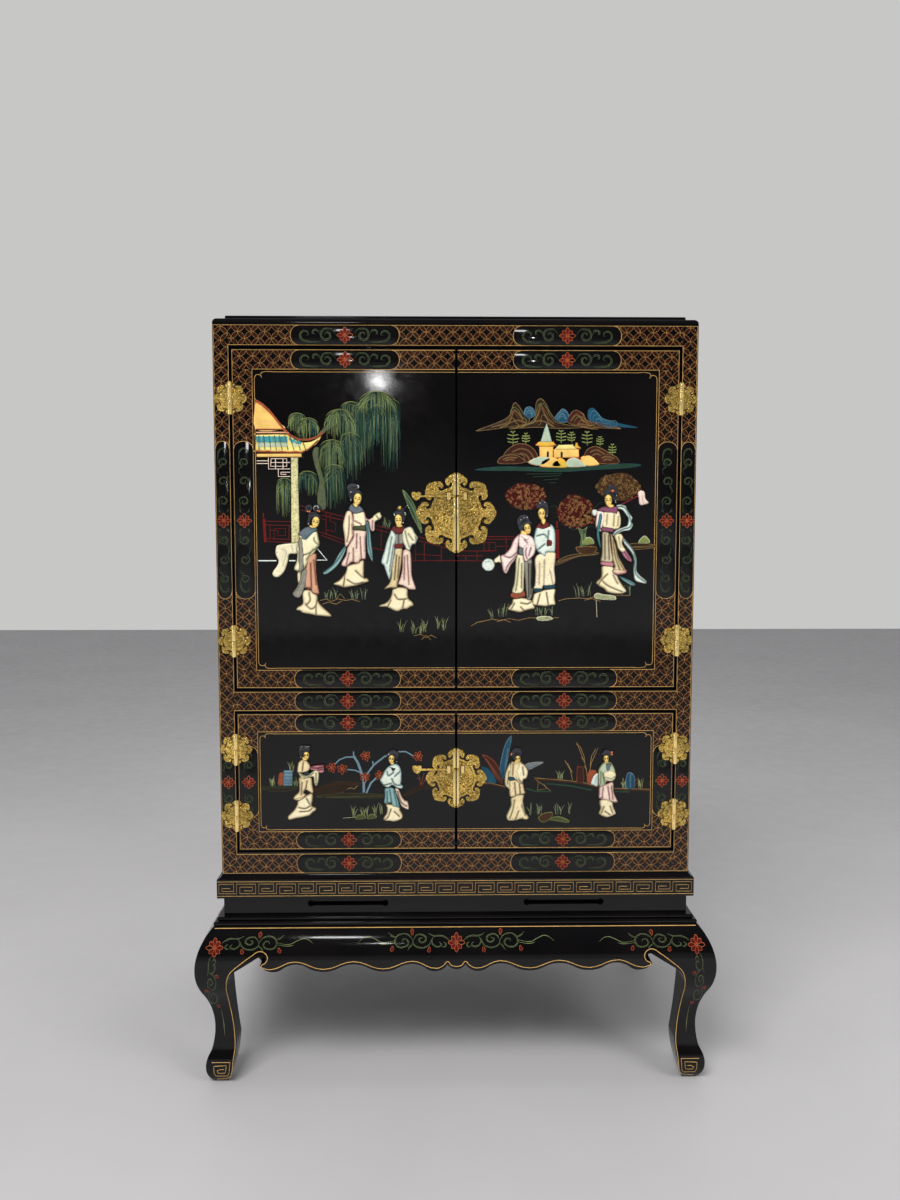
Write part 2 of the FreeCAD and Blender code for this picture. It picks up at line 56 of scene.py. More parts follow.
# Paint colours as seen (red, green, blue, share of metal)
colours = {
    "gold": (218, 174, 102, 0.15),
    "thread": (196, 146, 82, 0.1),
    "petal": (60, 16, 11, 0.0),
    "black": (9, 8, 9, 0.0),
    "leaf": (12, 28, 20, 0.0),
    "leafLine": (132, 146, 96, 0.1),
    "flower": (84, 15, 12, 0.0),
    "flowerLine": (180, 98, 56, 0.1),
    "ivory": (236, 226, 190, 0.0),
    "shell": (232, 214, 172, 0.0),
    # fold is a dark tan: the carved robes take it in their folds and at their edges as painted shade, and the
    # gardens use it for their own dark edges
    "fold": (132, 106, 66, 0.0),
    "peach": (200, 154, 126, 0.0),
    "rust": (142, 72, 46, 0.0),
    "wine": (104, 34, 34, 0.0),
    "rose": (180, 120, 130, 0.0),
    "blush": (230, 210, 192, 0.0),
    "pale": (238, 222, 216, 0.0),
    "mauve": (128, 74, 100, 0.0),
    "mist": (214, 224, 214, 0.0),
    "sky": (140, 174, 176, 0.0),
    "teal": (62, 128, 134, 0.0),
    "deepTeal": (22, 66, 80, 0.0),
    "slate": (96, 106, 116, 0.0),
    "grey": (140, 138, 126, 0.0),
    "dove": (196, 188, 160, 0.0),
    "beige": (214, 198, 156, 0.0),
    "sage": (150, 156, 116, 0.0),
    "celadon": (176, 192, 166, 0.0),
    "moss": (66, 74, 44, 0.0),
    # ink is a near-black for outlines, dots and faces, and also for the painted shadows on the brass
    "ink": (34, 28, 34, 0.0),
    "skin": (240, 208, 122, 0.0),
    "skinShade": (186, 128, 62, 0.0),
    "hair": (22, 22, 28, 0.0),
    "hairShine": (84, 88, 98, 0.0),
    "coral": (220, 118, 66, 0.0),
    "salmon": (222, 168, 128, 0.0),
    "ochre": (232, 190, 104, 0.0),
    "tile": (226, 210, 126, 0.0),
    "tileBlue": (60, 142, 150, 0.0),
    "stone": (216, 208, 150, 0.0),
    "tan": (164, 130, 78, 0.1),
    "umber": (62, 40, 22, 0.0),
    "darkEarth": (40, 28, 18, 0.0),
    "maroon": (58, 28, 20, 0.0),
    "fence": (104, 24, 22, 0.0),
    "olive": (120, 130, 72, 0.0),
    "pine": (34, 60, 44, 0.0),
    "bark": (84, 92, 66, 0.0),
    "blue": (28, 70, 92, 0.0),
    "steel": (104, 132, 144, 0.0),
    "amber": (216, 176, 62, 0.0),
}


def linear(value):
    share = value / 255.0
    return share / 12.92 if share <= 0.04045 else ((share + 0.055) / 1.055) ** 2.4


def tint(name):
    red, green, blue, metal = colours[name]
    return (linear(red), linear(green), linear(blue), metal)


# Noise in the materials reads Object coordinates, and painted colours come from the mesh's tint
def newMaterial(name):
    material = bpy.data.materials.new(name)
    material.use_nodes = True
    tree = material.node_tree
    return material, tree, tree.nodes["Principled BSDF"]


def addNode(tree, kind, **values):
    node = tree.nodes.new(kind)
    for key, value in values.items():
        if key in node.inputs.keys():
            node.inputs[key].default_value = value
        else:
            setattr(node, key, value)
    return node


def noise(tree, scale, detail=3.0, stretch=(1.0, 1.0, 1.0)):
    coords = tree.nodes.new("ShaderNodeTexCoord")
    mapping = tree.nodes.new("ShaderNodeMapping")
    mapping.inputs["Scale"].default_value = stretch
    tree.links.new(coords.outputs["Object"], mapping.inputs["Vector"])
    node = addNode(tree, "ShaderNodeTexNoise", Scale=scale, Detail=detail)
    tree.links.new(mapping.outputs["Vector"], node.inputs["Vector"])
    return node.outputs["Fac"]


def spread(tree, value, low, high, fromLow=0.3, fromHigh=0.7):
    node = tree.nodes.new("ShaderNodeMapRange")
    for key, number in (("From Min", fromLow), ("From Max", fromHigh), ("To Min", low), ("To Max", high)):
        node.inputs[key].default_value = number
    tree.links.new(value, node.inputs["Value"])
    return node.outputs["Result"]


def blendColours(tree, share, first, second, kind="MIX"):
    node = tree.nodes.new("ShaderNodeMix")
    node.data_type = "RGBA"
    node.blend_type = kind
    for socket, value in ((0, share), (6, first), (7, second)):
        if isinstance(value, bpy.types.NodeSocket):
            tree.links.new(value, node.inputs[socket])
        else:
            node.inputs[socket].default_value = value
    return node.outputs[2]


def bump(tree, shader, height, strength, distance):
    node = addNode(tree, "ShaderNodeBump", Strength=strength, Distance=distance)
    tree.links.new(height, node.inputs["Height"])
    tree.links.new(node.outputs["Normal"], shader.inputs["Normal"])
    return node


def roughness(tree, shader, scale, detail, low, high):
    tree.links.new(spread(tree, noise(tree, scale, detail), low, high), shader.inputs["Roughness"])


def lacquerMaterial(name, low, high, gloss):
    material, tree, shader = newMaterial(name)
    cloud = noise(tree, 5.0, 4.0)
    colour = blendColours(tree, spread(tree, cloud, 0.0, 1.0), low + (1.0,), high + (1.0,))
    tree.links.new(colour, shader.inputs["Base Color"])
    roughness(tree, shader, 60.0, 5.0, gloss, gloss + 0.06)
    shader.inputs["Specular IOR Level"].default_value = 0.34
    bump(tree, shader, noise(tree, 4.0, 1.0), 0.01, 0.002)
    return material


brassFinish = {
    "grain": ((0.56, 0.3, 0.03, 1.0), (1.0, 0.74, 0.21, 1.0)),
    "tarnish": ((0.62, 0.62, 0.64, 1.0), (1.0, 1.0, 1.0, 1.0)),
    "smooth": (1.0, 0.76, 0.3, 1.0),
    # dark colour of engraved grooves and pits, and of the painted shadows beside the raised scrolls and
    # staples
    "grooveAndShadow": (0.05, 0.022, 0.004, 1.0),
    "gloss": {True: (0.1, 0.3), False: (0.14, 0.36)},
}


def brassMaterial(name, chased):
    material, tree, shader = newMaterial(name)
    grain = spread(tree, noise(tree, 240.0, 5.0), 0.0, 1.0, 0.38, 0.6)
    dull = spread(tree, noise(tree, 24.0, 3.0), 0.0, 1.0, 0.4, 0.62)
    worn = blendColours(tree, grain, *brassFinish["grain"])
    colour = blendColours(tree, 1.0, worn, blendColours(tree, dull, *brassFinish["tarnish"]), "MULTIPLY")
    shader.inputs["Metallic"].default_value = 0.75
    roughness(tree, shader, 90.0, 5.0, *brassFinish["gloss"][chased])
    hammer = bump(tree, shader, spread(tree, noise(tree, 420.0, 2.0), 0.0, 1.0), 0.08, 0.0007)
    if chased:
        # chased parts carry some metal in their tint, smooth ones none, and dark tints are engraved grooves,
        # pits and painted shadows
        layer = addNode(tree, "ShaderNodeVertexColor", layer_name="tint")
        share = spread(tree, layer.outputs["Alpha"], 0.0, 1.0, 0.04, 0.12)
        colour = blendColours(tree, share, brassFinish["smooth"], colour)
        # dark tints take the dark colour: the grooves and pits, and the painted shadows
        channels = tree.nodes.new("ShaderNodeSeparateColor")
        tree.links.new(layer.outputs["Color"], channels.inputs[0])
        lit = spread(tree, channels.outputs[0], 0.0, 1.0, 0.03, 0.3)
        colour = blendColours(tree, lit, brassFinish["grooveAndShadow"], colour)
        tree.links.new(spread(tree, layer.outputs["Alpha"], 0.05, 0.9, 0.04, 0.12), hammer.inputs["Strength"])
    tree.links.new(colour, shader.inputs["Base Color"])
    return material


def paintMaterial():
    material, tree, shader = newMaterial("raisedPaint")
    layer = addNode(tree, "ShaderNodeVertexColor", layer_name="tint")
    cloud = spread(tree, noise(tree, 45.0, 4.0), 0.0, 1.0)
    patchy = blendColours(tree, cloud, (0.72, 0.72, 0.72, 1.0), (1.0, 1.0, 1.0, 1.0))
    colour = blendColours(tree, 1.0, layer.outputs["Color"], patchy, "MULTIPLY")
    tree.links.new(colour, shader.inputs["Base Color"])
    tree.links.new(layer.outputs["Alpha"], shader.inputs["Metallic"])
    roughness(tree, shader, 180.0, 3.0, 0.3, 0.45)
    shader.inputs["Specular IOR Level"].default_value = 0.25
    bump(tree, shader, noise(tree, 500.0, 2.0), 0.2, 0.0004)
    return material


def soapstoneMaterial(name, carved):
    material, tree, shader = newMaterial(name)
    veins = spread(tree, noise(tree, 38.0, 6.0), 0.0, 1.0)
    stone = blendColours(tree, veins, (0.9, 0.87, 0.8, 1.0), (1.0, 1.0, 1.0, 1.0))
    cracks = addNode(tree, "ShaderNodeTexVoronoi", feature="DISTANCE_TO_EDGE", Scale=110.0)
    coords = tree.nodes.new("ShaderNodeTexCoord")
    tree.links.new(coords.outputs["Object"], cracks.inputs["Vector"])
    crackle = spread(tree, cracks.outputs["Distance"], 0.0, 1.0, 0.0, 0.03)
    stone = blendColours(tree, crackle, (0.8, 0.73, 0.6, 1.0), stone)
    if carved:
        layer = addNode(tree, "ShaderNodeVertexColor", layer_name="tint")
        stone = blendColours(tree, 1.0, layer.outputs["Color"], stone, "MULTIPLY")
    tree.links.new(stone, shader.inputs["Base Color"])
    roughness(tree, shader, 120.0, 4.0, 0.28, 0.5)
    shader.inputs["Subsurface Weight"].default_value = 0.12
    shader.inputs["Subsurface Radius"].default_value = (0.004, 0.003, 0.002)
    bump(tree, shader, noise(tree, 260.0, 4.0), 0.08, 0.0003)
    return material


blackLacquer = lacquerMaterial("blackLacquer", (0.0016, 0.0016, 0.002), (0.0044, 0.0036, 0.0036), 0.05)
innerLacquer = lacquerMaterial("innerLacquer", (0.02, 0.006, 0.004), (0.04, 0.012, 0.008), 0.3)
polishedBrass = brassMaterial("polishedBrass", False)
chasedBrass = brassMaterial("chasedBrass", True)
raisedPaint = paintMaterial()
carvedStone = soapstoneMaterial("carvedStone", True)
plainStone = soapstoneMaterial("plainStone", False)
print("cabinet: materials made")


# Patterns are drawn flat: u to the right, v up, w out of the surface
def onFront(y=case["front"]):
    return Matrix(((1, 0, 0, 0), (0, 0, -1, y), (0, 1, 0, 0), (0, 0, 0, 1)))


def onRight(x=case["halfWidth"]):
    return Matrix(((0, 0, 1, x), (1, 0, 0, 0), (0, 1, 0, 0), (0, 0, 0, 1)))


def onLeft(x=case["halfWidth"]):
    return Matrix(((0, 0, -1, -x), (-1, 0, 0, 0), (0, 1, 0, 0), (0, 0, 0, 1)))


def shifted(u, v, turn=0.0, flip=1.0, size=1.0):
    return (
        Matrix.Translation((u, v, 0))
        @ Matrix.Rotation(math.radians(turn), 4, "Z")
        @ Matrix.Diagonal((flip * size, size, 1, 1))
    )


def newPaint():
    paint = bmesh.new()
    paint.loops.layers.float_color.new("tint")
    return paint


def join(paint, part):
    mesh = bpy.data.meshes.new("part")
    part.to_mesh(mesh)
    part.free()
    paint.from_mesh(mesh)
    bpy.data.meshes.remove(mesh)


def only(kind, items):
    return [item for item in items if isinstance(item, kind)]


def geometryOf(part):
    return part.verts[:] + part.edges[:] + part.faces[:]


def addMesh(paint, mesh, place, colour, lift=0.0):
    part = bmesh.new()
    part.from_mesh(mesh)
    bpy.data.meshes.remove(mesh)
    addPart(paint, part, place, colour, lift)


def addPart(paint, part, place, colour, lift=0.0):
    bmesh.ops.remove_doubles(part, verts=part.verts[:], dist=0.0005)
    bmesh.ops.transform(part, matrix=place @ Matrix.Translation((0, 0, lift)), verts=part.verts[:])
    bmesh.ops.recalc_face_normals(part, faces=part.faces[:])
    layer = part.loops.layers.float_color.new("tint")
    shade = tint(colour)
    for face in part.faces:
        face.material_index = 1 if colour == "black" else 0
        for loop in face.loops:
            loop[layer] = shade
    join(paint, part)


def curveMesh(lines, closed, smooth, steps, tips, values):
    curve = bpy.data.curves.new("line", "CURVE")
    for key, value in values.items():
        setattr(curve, key, value)
    for line in lines:
        spline = curve.splines.new("BEZIER" if smooth else "POLY")
        points = spline.bezier_points if smooth else spline.points
        points.add(len(line) - 1)
        last = max(1, len(line) - 1)
        for number, (u, v) in enumerate(line):
            point = points[number]
            if smooth:
                point.handle_left_type = "AUTO"
                point.handle_right_type = "AUTO"
                point.co = (u, v, 0)
            else:
                point.co = (u, v, 0, 1)
            point.radius = tips + (1 - tips) * max(math.sin(math.pi * number / last), 0.0) ** 0.5
        spline.use_cyclic_u = closed
        spline.resolution_u = steps
    holder = bpy.data.objects.new("line", curve)
    mesh = bpy.data.meshes.new_from_object(holder)
    bpy.data.objects.remove(holder)
    bpy.data.curves.remove(curve)
    return mesh


def drawLines(
    paint, place, lines, width, colour, high=0.5, lift=0.0, closed=False, smooth=False, steps=4, tips=1.0
):
    values = {
        "dimensions": "3D",
        "twist_mode": "Z_UP",
        "bevel_depth": width / 2,
        "bevel_resolution": 0,
        "use_fill_caps": not closed,
    }
    mesh = curveMesh(lines, closed, smooth, steps, tips, values)
    mesh.transform(Matrix.Diagonal((1, 1, 2 * high / width, 1)))
    addMesh(paint, mesh, place, colour, lift)


def drawShapes(paint, place, outlines, colour, high=0.4, rounding=0.3, lift=0.0, smooth=True, steps=4):
    values = {
        "dimensions": "2D",
        "fill_mode": "BOTH",
        "extrude": max(high - rounding, 0.01),
        "bevel_depth": rounding,
        "bevel_resolution": 1,
    }
    mesh = curveMesh(outlines, True, smooth, steps, 1.0, values)
    addMesh(paint, mesh, place, colour, lift)


def rectangle(u0, u1, v0, v1):
    return [(u0, v0), (u1, v0), (u1, v1), (u0, v1)]


def around(u, v, wide, tall):
    return rectangle(u - wide, u + wide, v - tall, v + tall)


def arc(cu, cv, radius, start, end, count=8):
    angles = [math.radians(start + (end - start) * k / count) for k in range(count + 1)]
    return [(cu + radius * math.cos(a), cv + radius * math.sin(a)) for a in angles]


def spiral(cu, cv, outer, inner, start, turns, count=12):
    points = []
    for k in range(count + 1):
        share = k / count
        radius = outer + (inner - outer) * share
        angle = math.radians(start + 360 * turns * share)
        points.append((cu + radius * math.cos(angle), cv + radius * math.sin(angle)))
    return points


def finishPiece(paint, name, body, material, angle=40.0, replaced=()):
    bmesh.ops.scale(paint, vec=(mm, mm, mm), verts=paint.verts[:])
    mesh = bpy.data.meshes.new(name)
    paint.to_mesh(mesh)
    paint.free()
    mesh.shade_smooth()
    mesh.set_sharp_from_angle(angle=math.radians(angle))
    mesh.materials.append(material)
    if material == raisedPaint:
        mesh.materials.append(blackLacquer)
    piece = bpy.data.objects.new(name, mesh)
    bpy.context.scene.collection.objects.link(piece)
    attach(piece, body)
    if replaced:
        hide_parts(*replaced)
    return piece


# lattice of overlapping circles, with petals where they cross
lattice = {
    "radius": 12.4,
    "line": 0.34,
    "petal": (11.8, 2.6),
    "high": 0.3,
    "rowStep": 0.06,
    "petalSink": -0.1,
}


def latticeTile(part, kind):
    radius = lattice["radius"]
    if kind == "ring":
        bmesh.ops.create_circle(part, cap_ends=True, segments=16, radius=radius + lattice["line"] / 2)
        middle = part.faces[:]
        bmesh.ops.inset_individual(part, faces=middle, thickness=lattice["line"])
        bmesh.ops.delete(part, geom=middle, context="FACES_ONLY")
        return
    length, width = lattice["petal"]
    for turn in (math.radians(45), math.radians(135)):
        made = bmesh.ops.create_circle(part, cap_ends=True, segments=8, radius=0.5)
        place = Matrix.Rotation(turn, 4, "Z") @ Matrix.Translation((radius * math.sqrt(0.5), 0, 0))
        bmesh.ops.transform(part, matrix=place @ Matrix.Diagonal((width, length, 1, 1)), verts=made["verts"])


def drawLattice(paint, place, box, across=0.5, along=0.5):
    u0, u1, v0, v1 = box
    radius = lattice["radius"]
    middleU, middleV = (u0 + u1) / 2, (v0 + v1) / 2
    columns = math.ceil((u1 - u0) / radius / 2) + 2
    rows = math.ceil((v1 - v0) / radius / 2) + 2
    limits = [((u0, 0, 0), (-1, 0, 0)), ((u1, 0, 0), (1, 0, 0)), ((0, v0, 0), (0, -1, 0))]
    limits.append(((0, v1, 0), (0, 1, 0)))
    for kind, colour, lift in (("ring", "thread", 0.0), ("petal", "petal", lattice["petalSink"])):
        part = bmesh.new()
        latticeTile(part, kind)
        tile = geometryOf(part)
        for row in range(-rows, rows + 1):
            for column in range(-columns, columns + 1):
                u, v = middleU + (column + across) * radius, middleV + (row + along) * radius
                far = u < u0 - radius or u > u1 + radius or v < v0 - radius or v > v1 + radius
                if (row + column) % 2 or far:
                    continue
                verts = only(bmesh.types.BMVert, bmesh.ops.duplicate(part, geom=tile)["geom"])
                bmesh.ops.translate(part, verts=verts, vec=(u, v, lattice["rowStep"] * (row % 2)))
        bmesh.ops.delete(part, geom=only(bmesh.types.BMVert, tile), context="VERTS")
        for spot, way in limits:
            bmesh.ops.bisect_plane(part, geom=geometryOf(part), plane_co=spot, plane_no=way, clear_outer=True)
        raised = bmesh.ops.extrude_face_region(part, geom=part.faces[:])["geom"]
        bmesh.ops.translate(part, verts=only(bmesh.types.BMVert, raised), vec=(0, 0, lattice["high"]))
        addPart(paint, part, place, colour, lift)


# A petal's half outline: share of its length, share of its width
petalShape = [(0.4, 0.34), (0.68, 0.5), (0.88, 0.3)]
flower = {"radius": 14.7, "shortPetal": 0.84, "petalWide": 0.44, "line": 0.85, "heart": 0.1, "heartLine": 0.9}


def petalOutline(length, width, turn, start=0.12):
    back = [(a, -b) for a, b in reversed(petalShape)]
    share = [(start, 0.0)] + petalShape + [(1.0, 0.0)] + back
    c, s = math.cos(turn), math.sin(turn)
    return [(length * a * c - width * b * s, length * a * s + width * b * c) for a, b in share]


def drawFlower(paint, place, radius=flower["radius"], petals=8, lift=0.0):
    outlines = []
    for number in range(petals):
        long = 1.0 if number % 2 == 0 else flower["shortPetal"]
        turn = 2 * math.pi * number / petals
        outlines.append(petalOutline(radius * long, radius * flower["petalWide"], turn))
    line = {"closed": True, "smooth": True}
    drawShapes(paint, place, outlines, "flower", 0.3, 0.1, lift, steps=2)
    drawLines(paint, place, outlines, flower["line"], "flowerLine", 0.25, lift + 0.2, steps=3, **line)
    heart = arc(0, 0, radius * flower["heart"], 0, 300, 5)
    drawLines(paint, place, [heart], flower["heartLine"], "flowerLine", 0.3, lift + 0.35, steps=2, **line)


# A scroll is a pale line with a dark one on its middle
scroll = {"pale": "leafLine", "dark": "leaf", "width": 3.6, "darkShare": 0.68, "darkLift": 0.16, "tips": 0.35}


def drawScroll(paint, place, lines, lift=0.0, width=scroll["width"]):
    dark = width * scroll["darkShare"]
    drawLines(paint, place, lines, width, scroll["pale"], 0.3, lift, smooth=True, tips=scroll["tips"])
    lift += scroll["darkLift"]
    drawLines(paint, place, lines, dark, scroll["dark"], 0.3, lift, smooth=True, tips=scroll["tips"])


def bothWays(lines):
    return [[(flip * u, v) for u, v in line] for flip in (1, -1) for line in lines]


cartouche = {"high": 0.55, "bulge": 14.0, "line": 0.8, "sunk": 0.05, "narrowScroll": 2.8}
cartoucheFlowers = {"rail": 14.7, "tall": 13.5, "short": 12.5}
cartoucheLines = {
    "rail": [
        [(15, -2), (20, 6), (27, 12)] + spiral(33.6, 0, 12.5, 2.5, 110, -1.35, 12),
        [(46, 1), (50, 8), (57, 8.5), (59, 3.5), (55, 1.5)],
        [
            (42, -10), (52, -12.5), (66, -12), (78, -9), (82.5, -1), (78, 6.5), (70, 6.5), (67.5, 1),
            (72, -1.5),
        ],
    ],
    "tall": [
        [(14, 3), (18, 8), (24, 9)],
        [(14, -3), (18, -8), (24, -9)],
        [(18, 0), (25, 8)] + spiral(36, 0, 9.5, 2.0, 125, -1.35, 11),
        [(46, -2), (52, -9), (60, -8)] + spiral(73, 0, 9.5, 2.0, 215, 1.35, 11),
        [(83, 3), (90, 9), (97, 8)] + spiral(108, -1, 8.5, 2.0, 150, -1.35, 11),
        [(104, 9), (118, 9), (130, 6), (134, -1), (129, -7), (122, -5)],
    ],
    "short": [
        [(14, 3), (22, 9)] + spiral(32, 0, 9.0, 2.0, 125, -1.35, 11),
        [(34, 9.5), (46, 9.5), (56, 5), (57, -2), (51, -6), (46, -2)],
    ],
}


def drawCartouche(paint, place, length, height, kind, lift=0.0):
    straight = length / 2 - cartouche["bulge"]
    turns = [math.radians(-90 + 180 * k / 12) for k in range(13)]
    end = [(straight + cartouche["bulge"] * math.cos(a), height / 2 * math.sin(a)) for a in turns]
    outline = end + [(-u, -v) for u, v in end]
    drawShapes(paint, place, [outline], "black", cartouche["high"], 0.1, lift, smooth=False)
    top = lift + cartouche["high"] - cartouche["sunk"]
    drawLines(paint, place, bothWays([end]), cartouche["line"], "gold", 0.35, top)
    drawFlower(paint, place, cartoucheFlowers[kind], lift=top)
    width = scroll["width"] if kind == "rail" else cartouche["narrowScroll"]
    drawScroll(paint, place, bothWays(cartoucheLines[kind]), top, width)


# borders of the case and the doors
border = {
    "line": 1.15,
    "thin": 0.8,
    "high": 0.52,
    "lift": 0.1,
    "clear": 1.0,
    "cartoucheAt": 206.0,
    "cartoucheLong": 201.0,
}
frameLines = {"side": 448.3, "stile": 421.6, "levels": (404.8, 441.9, 721.5, 756.5, 1404.3, 1440.3)}
tallCartouches = {"upper": (1081.0, 294.0, "tall"), "lower": (583.0, 140.0, "short")}  # middle, length, kind


def drawFrameLine(paint, place, lines, closed=False):
    drawLines(paint, place, lines, border["line"], "gold", border["high"], border["lift"], closed=closed)


def drawRailCartouche(paint, place, side, middle, wide):
    spot = place @ shifted(side * border["cartoucheAt"], middle)
    drawCartouche(paint, spot, border["cartoucheLong"], wide - border["clear"], "rail")


def drawTallCartouche(paint, place, floor, u0, u1):
    middle, length, kind = tallCartouches[floor]
    spot = place @ shifted((u0 + u1) / 2, middle, 90)
    drawCartouche(paint, spot, length, abs(u1 - u0) - border["clear"], kind)


def frameBorder():
    paint = newPaint()
    place = onFront()
    side, stile, levels = frameLines["side"], frameLines["stile"], frameLines["levels"]
    for low, high in (levels[0:2], levels[2:4], levels[4:6]):
        drawLattice(paint, place, (-stile, stile, low, high))
        for flip in (-1, 1):
            drawRailCartouche(paint, place, flip, (low + high) / 2, high - low)
    for flip in (-1, 1):
        u0, u1 = sorted((flip * side, flip * stile))
        drawLattice(paint, place, (u0, u1, levels[0], levels[5]), 0.0)
        for floor in tallCartouches:
            drawTallCartouche(paint, place, floor, u0, u1)
    openings = [(side, levels[0], levels[5]), (stile, levels[1], levels[2]), (stile, levels[3], levels[4])]
    drawFrameLine(paint, place, [rectangle(-u, u, low, high) for u, low, high in openings], closed=True)
    finishPiece(paint, "border_frame", "cabinet", raisedPaint)


frameBorder()
print("cabinet: face frame painted")

door = {
    "outer": 414.5,
    "borderInner": 378.0,
    "thinLine": 374.0,
    "seamAway": 1.2,
    "upper": {"outer": (765.5, 1395.3), "inner": (798.6, 1360.2), "thin": (802.6, 1355.2), "curl": 1.25},
    "lower": {"outer": (452.4, 713.4), "inner": (486.0, 680.4), "thin": (490.0, 676.4), "curl": 1.0},
    # curls at the corners of the thin line, measured from the corner
    "curls": [
        [(0.0, 14.0), (0.5, 8.0), (3.0, 4.4), (7.0, 4.0), (9.6, 5.4), (11.0, 8.0)],
        [(30.0, 0.0), (14.0, 0.0), (11.0, 1.2), (9.4, 4.6)],
    ],
    "curlEnds": (28, 13),
}


def thinFrame(paint, flat, seam, sizes):
    low, high = sizes["thin"]
    corner, size = door["thinLine"], sizes["curl"]
    across, along = (size * end for end in door["curlEnds"])
    for level, way in ((low, 1), (high, -1)):
        curls = [[(corner - size * a, level + way * size * b) for a, b in line] for line in door["curls"]]
        drawLines(paint, flat, curls, border["thin"], "gold", 0.4, 0.1, smooth=True)
        drawLines(paint, flat, [[(seam, level), (corner - across, level)]], border["thin"], "gold", 0.4, 0.1)
    upright = [(corner, low + along), (corner, high - along)]
    drawLines(paint, flat, [upright], border["thin"], "gold", 0.4, 0.1)


def doorBorder(name, side):
    paint = newPaint()
    place = onFront()
    floor = name.split("_")[0]
    sizes = door[floor]
    flat = place @ Matrix.Diagonal((side, 1, 1, 1))
    seam = case["seam"] + door["seamAway"]
    outer, inner = door["outer"], door["borderInner"]
    low, high = sizes["outer"]
    innerLow, innerHigh = sizes["inner"]
    boxes = [(seam, outer, innerHigh, high), (seam, outer, low, innerLow)]
    boxes.append((inner, outer, innerLow, innerHigh))
    for box in boxes:
        drawLattice(paint, flat, box)
    edges = [
        [(seam, low), (outer, low), (outer, high), (seam, high)],
        [(seam, innerLow), (inner, innerLow), (inner, innerHigh), (seam, innerHigh)],
    ]
    drawFrameLine(paint, flat, edges)
    thinFrame(paint, flat, seam, sizes)
    for middle in ((low + innerLow) / 2, (high + innerHigh) / 2):
        drawRailCartouche(paint, place, side, middle, high - innerHigh)
    drawTallCartouche(paint, place, floor, side * outer, side * inner)
    finishPiece(paint, "border_door_" + name, "door_" + name, raisedPaint)


for name, side in doorSides.items():
    doorBorder(name, side)
print("cabinet: door borders drawn")


keyBand = {
    "low": 362.9,
    "high": 391.1,
    "out": 9.0,
    "line": 0.82,
    "frontPairs": 12,
    "sidePairs": 6,
    "gap": 6.2,
    "ends": 3.0,
    "across": (0, 5.7, 21, 27.7, 33, 39.2, 46.8, 63, 68.8),  # steps of a pair along the band
    "down": (4.6, 10.4, 14.0, 17.8, 23.2),  # and down from its upper line
}


def keyPair(width):
    u = [share * width / keyBand["across"][-1] for share in keyBand["across"]]
    top, first, second, third, bottom = (keyBand["high"] - step for step in keyBand["down"])
    return [
        (u[2], second + 1), (u[1], second + 1), (u[1], third - 1), (u[3], third - 1), (u[3], top),
        (u[0], top), (u[0], bottom), (u[4], bottom), (u[4], top), (u[8], top), (u[8], bottom),
        (u[5], bottom), (u[5], first), (u[7], first), (u[7], third), (u[6], third),
    ]


def keyRun(paint, place, half, pairs):
    period = (2 * half - 2 * keyBand["ends"] + keyBand["gap"]) / pairs
    for number in range(pairs):
        start = -half + keyBand["ends"] + number * period
        line = [(start + u, v) for u, v in keyPair(period - keyBand["gap"])]
        drawLines(paint, place, [line], keyBand["line"], "gold", 0.5, 0.1)
    for v in (keyBand["low"], keyBand["high"]):
        drawLines(paint, place, [[(-half, v), (half, v)]], keyBand["line"], "gold", 0.5, 0.1)


def drawKeyBand():
    paint = newPaint()
    out = keyBand["out"]
    keyRun(paint, onFront(case["front"] - out), case["halfWidth"] + out - 1.0, keyBand["frontPairs"])
    for place in (onRight, onLeft):
        keyRun(paint, place(case["halfWidth"] + out), case["halfDepth"] + out - 1.0, keyBand["sidePairs"])
    finishPiece(paint, "key_band", "cabinet", raisedPaint)


drawKeyBand()
print("cabinet: key band drawn")

# dark boards behind the slots of the waist: a backing put there as painted shade, so that the slots read dark
slotShadeBoard = {"behind": 18.6, "halfWide": 86.0, "halfTall": 8.0, "middle": 343.5, "frontAt": 209.0}


def drawSlotShadeBoards():
    paint = newPaint()
    front = onFront(case["front"] + slotShadeBoard["behind"])
    side = case["halfWidth"] - slotShadeBoard["behind"]
    for place, away in ((front, slotShadeBoard["frontAt"]), (onRight(side), 0.0), (onLeft(side), 0.0)):
        for u in {-away, away}:
            board = around(u, slotShadeBoard["middle"], slotShadeBoard["halfWide"], slotShadeBoard["halfTall"])
            drawShapes(paint, place, [board], "black", 0.5, 0.1, smooth=False)
    finishPiece(paint, "slot_shade_boards", "cabinet", innerLacquer)


